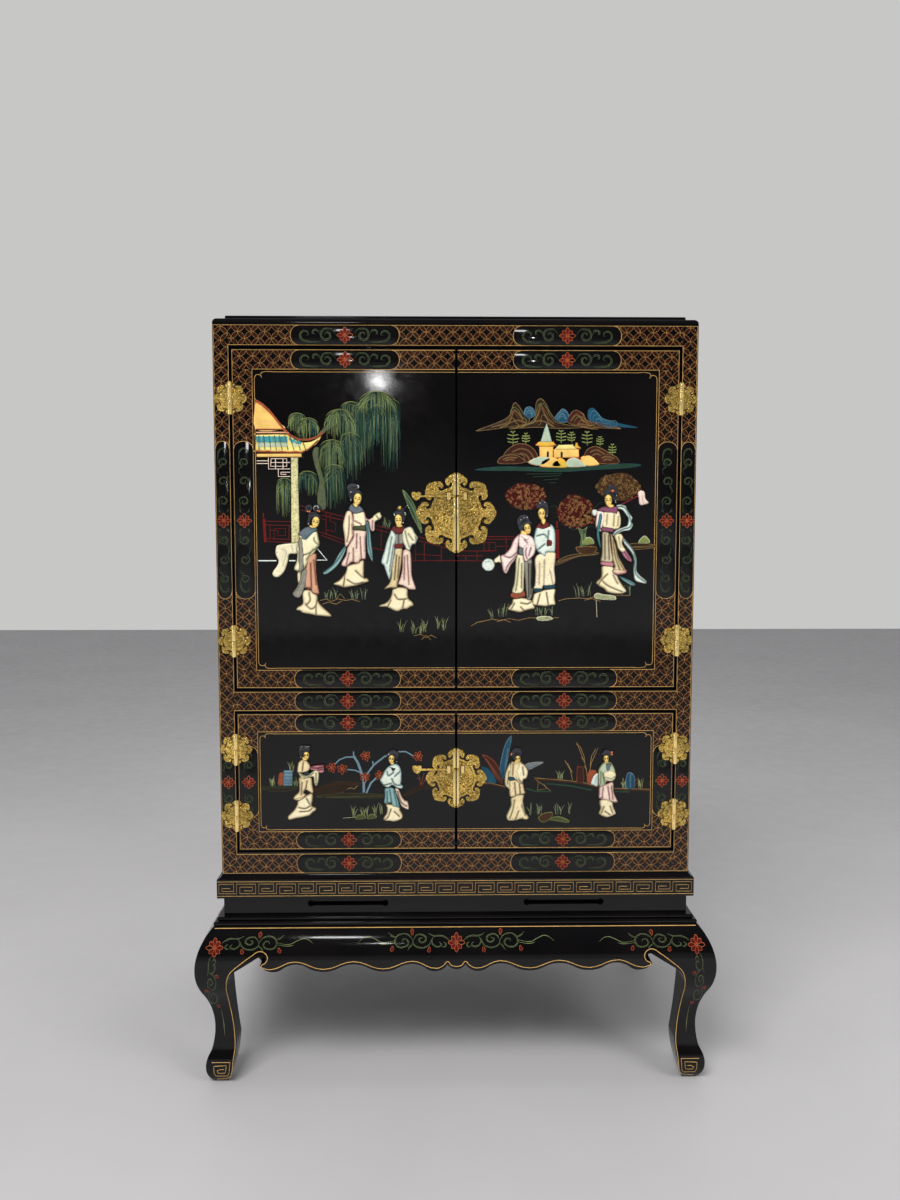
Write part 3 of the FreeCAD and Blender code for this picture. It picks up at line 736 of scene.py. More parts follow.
# gold edge, scrolls and foot spirals of the stand
stand = {
    "faceAway": 120.0,
    "edge": 1.3,
    "legLine": [
        (419.5, 237), (430, 226), (436.5, 206), (436, 164), (432, 128), (428.5, 95), (427, 71), (429, 48),
        (432, 24), (437, 11), (446, 7), (462, 5.6),
    ],
    "footSpiral": [
        (470, 43.5), (435, 43.5), (437.3, 21), (441, 14.5), (463, 14.7), (466, 22), (466, 36.5), (442, 37.5),
        (444, 23.7), (446, 21.4), (458, 21.6), (460, 27), (454.5, 29.6), (446.8, 29.8),
    ],
    "knee": (458.5, 274.0),
    "kneeFlower": 16.0,
    "middle": 280.0,
    "middleFlower": 15.5,
    "shoulderLine": 303.5,
}
legs = ["leg_front_left", "leg_front_right", "leg_back_left", "leg_back_right"]
spray = {
    "vines": [
        [(13, 3), (20, 9), (30, 12.5), (42, 12), (54, 17)],
        [(43, 11), (47, 3), (43, -5), (35, -8), (29, -4), (33, 1)],
        [(28, -8), (22, -8), (20, -3), (25, 1)],
        [(47, 7), (52, -4), (62, -9.5), (74, -8.5), (82, -2), (83, 5)],
        [(82, 5), (76, 14), (66, 14.5), (58, 9), (61, 1.5), (69, 1.5), (71, 7), (65, 8.5)],
        [
            (82, 2), (90, 13), (102, 16.5), (113, 12), (117, 3), (112, -7), (101, -8.5), (92, -2), (94, 5),
            (101, 6.5), (104, 1),
        ],
        [(82, -2), (88, -7), (93, -15)],
        [(113, 10), (122, 12), (130, 19)],
    ],
    "tails": [[(117, 4), (142, 1), (156, 8), (171, 12), (188, 1)], [(117, 0), (142, -2.5), (150, 0)]],
    "buds": [(51, -8, -80), (84, 14, 85), (121, -6, -75)],  # u, v, turn
    "bud": (11, 6),
    "width": 2.4,
}


def fine(line, step):
    points = [line[0]]
    for (u0, v0), (u1, v1) in zip(line, line[1:]):
        count = max(1, round(math.hypot(u1 - u0, v1 - v0) / step))
        points += [(u0 + (u1 - u0) * k / count, v0 + (v1 - v0) * k / count) for k in range(1, count + 1)]
    return points


def baseOut(way):
    return case["halfDepth"] if way[1] else case["halfWidth"]


def surfaceTree(names):
    merged = bmesh.new()
    for name in names:
        merged.from_mesh(nodes[name].data)
    tree = BVHTree.FromBMesh(merged)
    merged.free()
    return tree


# Moves a flat pattern along one axis until it lies on the curved wood
def drape(paint, tree, way):
    step = Vector(way)
    for vert in paint.verts:
        height = vert.co.dot(step)
        flat = vert.co - step * height
        spot = tree.ray_cast(flat * mm - step, step)[0]
        if spot is None or spot.dot(step) > 0:
            spot = tree.find_nearest(flat * mm - step * (baseOut(way) + 45) * mm)[0]
        vert.co = flat + step * (spot.dot(step) / mm + height + stand["faceAway"] + baseOut(way))


def drawSpray(paint, place, reach=1.0, tails=True):
    place = place @ Matrix.Diagonal((1, reach, 1, 1))
    drawScroll(paint, place, spray["vines"] if tails else spray["vines"][:-2], 0.0, spray["width"])
    if tails:
        drawLines(paint, place, spray["tails"], 1.0, "leafLine", 0.25, smooth=True, tips=0.2)
    for u, v, turn in spray["buds"]:
        spot = place @ shifted(u, v, turn)
        bud = petalOutline(*spray["bud"], 0.0, 0.0)
        drawShapes(paint, spot, [bud], "flower", 0.3, 0.12)
        drawLines(paint, spot, [bud], 0.7, "flowerLine", 0.3, 0.2, closed=True, smooth=True, steps=3)


def apronLine(halfRun, crests):
    lastCrest = halfRun - 111.0
    firstCrest = 82.0 if crests > 1 else lastCrest
    spacing = (lastCrest - firstCrest) / max(crests - 1, 1)
    line = [(0, 238.0), (10, 240.5), (17, 247.5), (24, 241), (38, 235.0)]
    for number in range(crests):
        crest = firstCrest + number * spacing
        if number:
            line.append((crest - spacing / 2, 234.5))
        line.append((crest, 248.5))
    spandrel = [
        (70, 235), (56, 236.5), (50, 241), (58, 247), (61.5, 256), (56, 264.5), (45, 267), (32, 260),
        (0, 237),
    ]
    return line + [(halfRun - u, v) for u, v in spandrel]


def drawStandFace(name, way, flat, half, crests, middleFlower):
    paint = newPaint()
    shift = half - case["halfWidth"]
    leg, foot = ([(u + shift, v) for u, v in stand[key]] for key in ("legLine", "footSpiral"))
    u, v = stand["knee"][0] + shift, stand["knee"][1]
    stem = [(u - 6, v - 130), (u - 10, v - 165), (u - 11, v - 185)]
    middle = stand["middle"]
    for side in (-1, 1):
        turned = flat @ Matrix.Diagonal((side, 1, 1, 1))
        apron = apronLine(leg[0][0], crests)
        drawLines(paint, turned, [apron], stand["edge"], "gold", 0.5, smooth=True, steps=5)
        drawLines(paint, turned, [leg], stand["edge"], "gold", 0.5, smooth=True)
        drawLines(paint, turned, [fine(foot, 3.0)], 1.0, "gold", 0.45)
        drawFlower(paint, turned @ shifted(u, v), stand["kneeFlower"])
        drawSpray(paint, turned @ shifted(u, v + 4, 180) @ Matrix.Diagonal((1, -1, 1, 1)), 0.8, middleFlower)
        drawSpray(paint, turned @ shifted(u + 2, v, -88.5), 0.62, False)
        drawLines(paint, turned, [stem], 0.9, "leafLine", 0.25, smooth=True, tips=0.2)
        if middleFlower:
            drawSpray(paint, turned @ shifted(0, middle), 0.85)
    if middleFlower:
        drawFlower(paint, flat @ shifted(0, middle), stand["middleFlower"])
    line = stand["shoulderLine"]
    drawLines(paint, flat, [[(-half - 12, line), (half + 12, line)]], 1.0, "gold", 0.45)
    drape(paint, surfaceTree(["apron_" + name] + legs), way)
    finishPiece(paint, "scrolls_" + name, "cabinet", raisedPaint)


sideBorder = {"margin": 1.7, "wide": 40.0, "flowerAt": 923.0, "flower": 17.0}


def drawSides():
    paint = newPaint()
    outer, wide = case["halfDepth"] - sideBorder["margin"], sideBorder["wide"]
    low, high = frameLines["levels"][0], frameLines["levels"][-1]
    inner = outer - wide
    spot = shifted(0, sideBorder["flowerAt"])
    for flat in (onRight(), onLeft()):
        drawFrameLine(paint, flat, [rectangle(-outer, outer, low, high)], closed=True)
        drawFrameLine(paint, flat, [rectangle(-inner, inner, low + wide, high - wide)], closed=True)
        for box in ((-outer, outer, low, low + wide), (-outer, outer, high - wide, high)):
            drawLattice(paint, flat, box)
        for side in (-1, 1):
            drawLattice(paint, flat, (*sorted((side * inner, side * outer)), low + wide, high - wide))
            drawSpray(paint, flat @ Matrix.Diagonal((side, 1, 1, 1)) @ spot)
        drawFlower(paint, flat @ spot, sideBorder["flower"])
    finishPiece(paint, "border_sides", "cabinet", raisedPaint)


away = stand["faceAway"]
drawSlotShadeBoards()
drawSides()
drawStandFace("front", (0, 1, 0), onFront(case["front"] - away), case["halfWidth"], 3, True)
drawStandFace("right", (-1, 0, 0), onRight(case["halfWidth"] + away), case["halfDepth"], 1, False)
drawStandFace("left", (1, 0, 0), onLeft(case["halfWidth"] + away), case["halfDepth"], 1, False)
print("cabinet: stand painted")

# Relief is a grid cut to an outline, rounded at its edge and pressed in along its folds
carving = {
    "cell": 1.3,
    "foldDeep": 2.0,
    "foldWide": 1.5,
    "edgeWide": 3.4,
    "edgeShare": 0.85,
    # rim, rimWide and foldShade darken the tint at each part's rim, where parts meet, and in the folds, as
    # painted shade
    "rim": 0.85,
    "rimWide": 1.5,
    "foldShade": 0.6,
    "speck": 0.6,
    "sunk": -0.5,
}
gardenRelief = dict(carving, cell=1.6, foldDeep=0.2, foldWide=0.9, edgeWide=0.8, rim=0.0)


def rounded(points, closed=True, steps=4):
    count = len(points)
    result = []
    for k in range(count if closed else count - 1):
        near = [k + d if closed else min(max(k + d, 0), count - 1) for d in (-1, 0, 1, 2)]
        a, b, c, d = (Vector(points[number % count]) for number in near)
        for step in range(steps):
            t = step / steps
            bend = (2 * a - 5 * b + 4 * c - d) * t * t + (3 * b - a - 3 * c + d) * t * t * t
            spot = 0.5 * (2 * b + (c - a) * t + bend)
            result.append((spot.x, spot.y))
    return result if closed else result + [tuple(points[-1])]


def nearest(spots, line, closed):
    start = numpy.array(line, dtype=float)
    end = numpy.roll(start, -1, axis=0)
    if not closed:
        start, end = start[:-1], end[:-1]
    along = end - start
    offset = spots[:, None, :] - start[None, :, :]
    square = numpy.maximum((along ** 2).sum(axis=1), 1e-9)
    share = numpy.clip((offset * along[None]).sum(axis=2) / square, 0.0, 1.0)
    foot = start[None] + share[..., None] * along[None]
    away = numpy.sqrt(((spots[:, None, :] - foot) ** 2).sum(axis=2))
    best = away.argmin(axis=1)
    rows = numpy.arange(len(spots))
    return away[rows, best], foot[rows, best]


def inside(spots, line):
    start = numpy.array(line, dtype=float)
    end = numpy.roll(start, -1, axis=0)
    u, v = spots[:, 0][:, None], spots[:, 1][:, None]
    above = (start[:, 1][None] > v) != (end[:, 1][None] > v)
    rise = numpy.where(end[:, 1] == start[:, 1], 1e-9, end[:, 1] - start[:, 1])
    crossing = (end[:, 0] - start[:, 0])[None] * (v - start[:, 1][None]) / rise[None] + start[:, 0][None]
    return (above & (u < crossing)).sum(axis=1) % 2 == 1


def cutSheet(line, cell):
    low, top = numpy.min(line, axis=0), numpy.max(line, axis=0)
    columns, rows = (int(math.ceil(size / cell)) for size in top - low)
    middle = (top + low) / 2
    sheet = bmesh.new()
    bmesh.ops.create_grid(sheet, x_segments=columns, y_segments=rows, size=0.5)
    bmesh.ops.scale(sheet, vec=(columns * cell, rows * cell, 1), verts=sheet.verts[:])
    bmesh.ops.translate(sheet, vec=(middle[0], middle[1], 0), verts=sheet.verts[:])
    centres = numpy.array([face.calc_center_median()[:2] for face in sheet.faces])
    outer = [face for face, keep in zip(sheet.faces[:], inside(centres, line)) if not keep]
    bmesh.ops.delete(sheet, geom=outer, context="FACES")
    return sheet


def reliefTints(part, away, crease, tools):
    main, edge, _, _, soft, speck = part[:6]
    wide = min(tools["edgeWide"], soft * 0.5)
    # the edge colour goes along the outline and into the folds: the robes' own tinted wash, and where the
    # edge colour is dark, painted shade
    share = numpy.maximum(numpy.exp(-((away / wide) ** 2)), crease)[:, None] * tools["edgeShare"]
    first, second, spot = (numpy.array(tint(colour)) for colour in (main, edge, "ink"))
    tints = first[None] * (1 - share) + second[None] * share
    # painted shade: darker at the rim of each part, where it meets the next, and in the folds
    dark = numpy.maximum(numpy.exp(-((away / tools["rimWide"]) ** 2)), tools["foldShade"] * crease)
    tints *= 1 - tools["rim"] * dark[:, None]
    for number in range(len(tints)):
        if random.random() * 100 < speck:
            tints[number] = (1 - tools["speck"]) * tints[number] + tools["speck"] * spot
    return tints


# A part is: main colour, edge colour, lift, height, softness of the edge, share of specks, outline, folds
def carve(paint, place, part, tools=carving):
    _, _, lift, high, soft, _, outline, folds = part
    line = rounded(outline)
    sheet = cutSheet(line, tools["cell"])
    if not sheet.faces:
        sheet.free()
        return
    rim = [vert for vert in sheet.verts if vert.is_boundary]
    feet = nearest(numpy.array([vert.co[:2] for vert in rim]), line, True)[1]
    for vert, foot in zip(rim, feet):
        vert.co.x, vert.co.y = foot
    bottom = sheet.faces[:]
    raised = bmesh.ops.extrude_face_region(sheet, geom=bottom)["geom"]
    crown = set(only(bmesh.types.BMVert, raised))
    sheet.verts.index_update()
    spots = numpy.array([vert.co[:2] for vert in sheet.verts])
    away = nearest(spots, line, True)[0]
    crease = numpy.zeros(len(spots))
    for fold in folds:
        near = nearest(spots, rounded(fold, False), False)[0]
        crease = numpy.maximum(crease, numpy.exp(-((near / tools["foldWide"]) ** 2)))
    reach = numpy.clip(away / soft, 0.0, 1.0)
    pressed = tools["foldDeep"] * crease * (away > 0.4 * tools["cell"])
    height = lift + high * numpy.sqrt(1 - (1 - reach) ** 2) - pressed
    tints = reliefTints(part, away, crease, tools)
    layer = sheet.loops.layers.float_color.new("tint")
    for face in sheet.faces:
        for loop in face.loops:
            loop[layer] = tints[loop.vert.index]
    for vert in sheet.verts:
        vert.co.z = height[vert.index] if vert in crown else tools["sunk"]
    bmesh.ops.dissolve_faces(sheet, faces=bottom)
    bmesh.ops.transform(sheet, matrix=place, verts=sheet.verts[:])
    bmesh.ops.recalc_face_normals(sheet, faces=sheet.faces[:])
    join(paint, sheet)


# locks and hinges
brass = {
    "upper": {"middle": 1095.5, "radius": 75.0, "bolt": 1126.5, "staples": (-14.3, 16.5), "seed": 7},
    "lower": {"middle": 589.75, "radius": 58.0, "bolt": 607.1, "staples": (-14.3, 12.3), "seed": 11},
    "plate": 1.6,
    "strip": {"wide": 3.6, "high": 0.8, "low": 0.93, "top": 0.95},
    # room for the sliding bolt: half its bar, half its head, and how far right the head may come
    "barHalf": 2.8,
    "headHalf": 8.8,
    "headEnd": -20.0,
    "lobe": [
        (0.246, 0.6), (0.19, 0.612), (0.135, 0.64), (0.1, 0.68), (0.1, 0.728), (0.135, 0.758), (0.17, 0.742),
        (0.176, 0.708), (0.212, 0.69), (0.25, 0.715), (0.27, 0.78), (0.25, 0.85), (0.2, 0.888), (0.165, 0.93),
        (0.105, 0.955), (0.06, 0.985),
    ],
}
stapleSize = {"half": 3.2, "reach": 7.0, "base": 1.0, "tall": 5.0, "thick": 0.9, "rimAt": 6.1}
hinges = {
    "upper": (854.5, 1306.5),
    "lower": (518.5, 647.0),
    "radius": 30.5,
    "plate": 1.5,
    "axis": (419.0, -244.3),
    "edge": 3.7,
    "barrel": 4.0,
    "half": 30,
    "split": 0.3,
    "nails": 0.78,
    "innerScrolls": (0.3, 1.2, -0.6, -1.4, 1.9, 2.7, 3.6, 4.4),  # their angles on the leaf
}
# chased pattern of a lock, in shares of the plate's radius
chased = {
    "lobes": ((0.15, 0.8, 1.1), (-0.15, 0.8, -1.1), (0.0, 0.87, 0.8)),  # aside, out, turns
    "lobeCurl": (0.062, 0.015),
    "rings": ((0.5, 15), (0.34, 10), (0.19, 6)),  # radius, count
    "ringCurl": (0.08, 0.018),
    "dotsOut": 1.12,
    "edge": 0.95,
    "grooveAndShadow": 0.575,
    "rope": 0.6,
    "pits": 110,
    "pitsReach": 0.5,
}


def onLobe(number, aside, out):
    angle = math.pi * number / 4
    c, s = math.cos(angle), math.sin(angle)
    return out * s + aside * c, out * c - aside * s


def cloudOutline(radius, reach=1.0):
    lobe = brass["lobe"]
    full = [(-aside, out) for aside, out in lobe] + [(0.0, 1.0)] + lobe[:0:-1]
    shares = [onLobe(number, *spot) for number in range(8) for spot in full]
    return [(radius * reach * u, radius * reach * v) for u, v in shares]


def beads(paint, place, spots, size, lift, colour="gold"):
    part = bmesh.new()
    for u, v in spots:
        made = bmesh.ops.create_icosphere(part, subdivisions=1, radius=size)
        bmesh.ops.translate(part, verts=made["verts"], vec=(u, v, 0))
    addPart(paint, part, place, colour, lift)


def cutAway(paint, spot, way):
    # flat faces are joined first, so that no thin slivers are cut
    bmesh.ops.dissolve_limit(paint, angle_limit=0.01, verts=paint.verts[:], edges=paint.edges[:])
    bmesh.ops.bisect_plane(paint, geom=geometryOf(paint), plane_co=spot, plane_no=way, clear_outer=True)
    bmesh.ops.holes_fill(paint, edges=[edge for edge in paint.edges if edge.is_boundary], sides=0)


def staple(paint, place, u, v):
    half, reach, tall = stapleSize["half"], stapleSize["reach"], stapleSize["tall"]
    part = bmesh.new()
    corners = [part.verts.new((u + side * half, v - reach, stapleSize["base"])) for side in (-1, 1)]
    edges = [part.edges.new(corners)]
    for step in ((0, 0, tall), (0, 2 * reach, 0), (0, 0, -tall)):
        grown = bmesh.ops.extrude_edge_only(part, edges=edges)["geom"]
        edges = only(bmesh.types.BMEdge, grown)
        bmesh.ops.translate(part, verts=only(bmesh.types.BMVert, grown), vec=step)
    bmesh.ops.recalc_face_normals(part, faces=part.faces[:])
    bmesh.ops.solidify(part, geom=part.faces[:], thickness=stapleSize["thick"])
    addPart(paint, part, place, "amber")
    rim = around(u, v, half - 0.6, reach - 0.8)
    drawLines(paint, place, [rim], 1.1, "amber", 0.5, stapleSize["rimAt"], closed=True)
    shadow = around(u, v, half + 0.9, reach + 0.8)
    drawLines(paint, place, [shadow], 1.3, "ink", 0.18, brass["plate"], closed=True)


def clearOfBolt(u, v, bolt):
    reach = brass["headHalf"] if u < brass["headEnd"] else brass["barHalf"]
    return abs(v - bolt) > reach


def chasing(paint, place, radius, bolt, seed):
    random.seed(seed)
    scrolls, dots = [], []
    outer, inner = (radius * share for share in chased["lobeCurl"])
    for number in range(8):
        for aside, out, turns in chased["lobes"]:
            u, v = (radius * share for share in onLobe(number, aside, out))
            scrolls.append(spiral(u, v, outer, inner, random.uniform(0, 360), turns, 7))
    outer, inner = (radius * share for share in chased["ringCurl"])
    for ring, count in chased["rings"]:
        for number in range(count):
            angle = 2 * math.pi * (number + random.uniform(-0.2, 0.2)) / count
            u, v = radius * ring * math.cos(angle), radius * ring * math.sin(angle)
            scrolls.append(spiral(u, v, outer, inner, random.uniform(0, 360), random.choice((-1.2, 1.2)), 8))
            dots.append(tuple(side * chased["dotsOut"] + random.uniform(-2, 2) for side in (u, v)))
    scrolls = [line for line in scrolls if all(clearOfBolt(u, v, bolt) for u, v in line)]
    dots = [spot for spot in dots if clearOfBolt(*spot, bolt)]
    edge = [spot for spot in cloudOutline(radius, chased["edge"])[::2] if clearOfBolt(*spot, bolt)]
    top = brass["plate"]
    curl = {"smooth": True, "steps": 2, "tips": 0.4}
    # painted shadows: each scroll gets a near-black copy, shifted down and to the right, under the gold one
    scrollShadows = [[(u + 0.9, v - 0.9) for u, v in line] for line in scrolls]
    # the dark ring just inside the gold rope is an engraved groove, painted dark as its shade
    grooveAndShadow, rope = (arc(0, 0, radius * chased[key], 0, 354, 47) for key in ("grooveAndShadow", "rope"))
    drawLines(paint, place, scrollShadows, radius * 0.018, "ink", radius * 0.003, top, **curl)
    drawLines(paint, place, [grooveAndShadow], 0.9, "ink", 0.25, top, closed=True)
    drawLines(paint, place, scrolls, radius * 0.017, "gold", radius * 0.007, top, **curl)
    drawLines(paint, place, [rope], radius * 0.016, "gold", 0.25, top, closed=True)
    beads(paint, place, dots, radius * 0.012, top)
    beads(paint, place, edge, radius * 0.009, top)
    reach = radius * chased["pitsReach"]
    pits = []
    for number in range(chased["pits"]):
        pits.append((reach * random.uniform(-1, 1), reach * random.uniform(-1, 1)))
    drawLines(paint, place, [[(u, v), (u + 1.4, v + 0.5)] for u, v in pits], 1.1, "ink", 0.25, top)


def lockPlate(name, side):
    floor = name.split("_")[0]
    sizes = brass[floor]
    radius, plate, strip = sizes["radius"], brass["plate"], brass["strip"]
    bolt = sizes["bolt"] - sizes["middle"]
    paint = newPaint()
    flat = Matrix.Identity(4)
    drawShapes(paint, flat, [cloudOutline(radius)], "gold", plate, 0.5, steps=3)
    chasing(paint, flat, radius, bolt, sizes["seed"])
    if floor == "lower":
        clusters = [(u + du, -12.0 + dv) for u in (-19, 19) for du, dv in ((-5, 0), (0, 3), (5, 0), (0, -4))]
        beads(paint, flat, [(u, v * radius) for v in (-0.9, 0.9) for u in (-11, -5, 5, 11)], 2.6, plate)
        beads(paint, flat, clusters, 3.4, plate)
        beads(paint, flat, [(u, 8.0) for u in (-17, 17)], 3.0, plate)
    cutAway(paint, (side * case["seam"], 0, 0), (-side, 0, 0))
    ends = sorted((side * case["seam"], side * (case["seam"] + strip["wide"])))
    below = (-radius * strip["low"], bolt - brass["barHalf"])
    above = (bolt + brass["barHalf"], radius * strip["top"])
    for low, high in (below, above):
        board = rectangle(*ends, low, high)
        drawShapes(paint, flat, [board], "amber", plate + strip["high"], 0.4, smooth=False)
    staple(paint, flat, sizes["staples"][0 if side < 0 else 1], bolt)
    bmesh.ops.transform(paint, matrix=onFront() @ shifted(0, sizes["middle"]), verts=paint.verts[:])
    finishPiece(paint, "brass_lock_" + name, "door_" + name, chasedBrass, 30, ["lock_plate_" + name])


def barrel(paint, axis, low, high):
    part = bmesh.new()
    thick = hinges["barrel"]
    bmesh.ops.create_cone(part, cap_ends=True, segments=20, radius1=thick, radius2=thick, depth=high - low)
    rims = [edge for edge in part.edges if any(len(face.verts) > 4 for face in edge.link_faces)]
    bmesh.ops.bevel(part, geom=rims, offset=0.6, segments=2, profile=0.5, affect="EDGES", material=-1)
    bmesh.ops.translate(part, verts=part.verts[:], vec=(axis[0], axis[1], (low + high) / 2))
    addPart(paint, part, Matrix.Identity(4), "amber")


def leafScrolls(reach, angles, outer, inner, turn, turns, count):
    spots = [(a, reach * math.cos(a), reach * math.sin(a)) for a in angles]
    return [spiral(u, v, outer, inner, turn * a, turns, count) for a, u, v in spots]


def hingeLeaf(paint, axisX, height, side):
    leaf = newPaint()
    flat = Matrix.Identity(4)
    radius, plate = hinges["radius"], hinges["plate"]
    curl = {"smooth": True, "steps": 2, "tips": 0.4}
    drawShapes(leaf, flat, [cloudOutline(radius)], "gold", plate, 0.35, steps=3)
    rim = [math.pi / 4 * k + 0.08 for k in range(8)]
    scrolls = leafScrolls(radius * 0.45, hinges["innerScrolls"], 4.2, 1.0, 57, 1.1, 7)
    scrolls += leafScrolls(radius * 0.82, rim, 3.0, 0.8, 90, 1.0, 6)
    # painted shadows: each scroll gets a near-black copy, shifted down and to the right, under the gold one
    scrollShadows = [[(u + 0.5, v - 0.5) for u, v in line] for line in scrolls]
    drawLines(leaf, flat, scrollShadows, 0.7, "ink", 0.15, plate, **curl)
    drawLines(leaf, flat, scrolls, 0.7, "gold", 0.3, plate, **curl)
    beads(leaf, flat, cloudOutline(radius, 0.93)[::2], 0.35, plate)
    for u in (-hinges["nails"], hinges["nails"]):
        nail = [(radius * u + 1.3 * math.cos(a), 1.3 * math.sin(a)) for a in (0.8, 2.4, 3.9, 5.5)]
        beads(leaf, flat, nail, 1.2, plate + 0.2)
    cutAway(leaf, (side * hinges["edge"], 0, 0), (-side, 0, 0))
    bmesh.ops.transform(leaf, matrix=onFront() @ shifted(axisX, height), verts=leaf.verts[:])
    join(paint, leaf)


def drawHinges():
    half, split = hinges["half"], hinges["split"]
    frameLeaves = newPaint()
    for name, side in doorSides.items():
        axis = (side * hinges["axis"][0], hinges["axis"][1])
        doorLeaves = newPaint()
        for height in hinges[name.split("_")[0]]:
            hingeLeaf(frameLeaves, axis[0], height, side)
            barrel(frameLeaves, axis, height - half, height - split)
            hingeLeaf(doorLeaves, axis[0], height, -side)
            barrel(doorLeaves, axis, height + split, height + half)
        replaced = ["hinge_leaves_" + name]
        finishPiece(doorLeaves, "brass_hinge_" + name, "door_" + name, chasedBrass, 30, replaced)
    finishPiece(frameLeaves, "brass_hinge_frame", "cabinet", chasedBrass, 30, ["hinge_leaves_frame"])


for name, side in doorSides.items():
    lockPlate(name, side)
drawHinges()
print("cabinet: brass made")

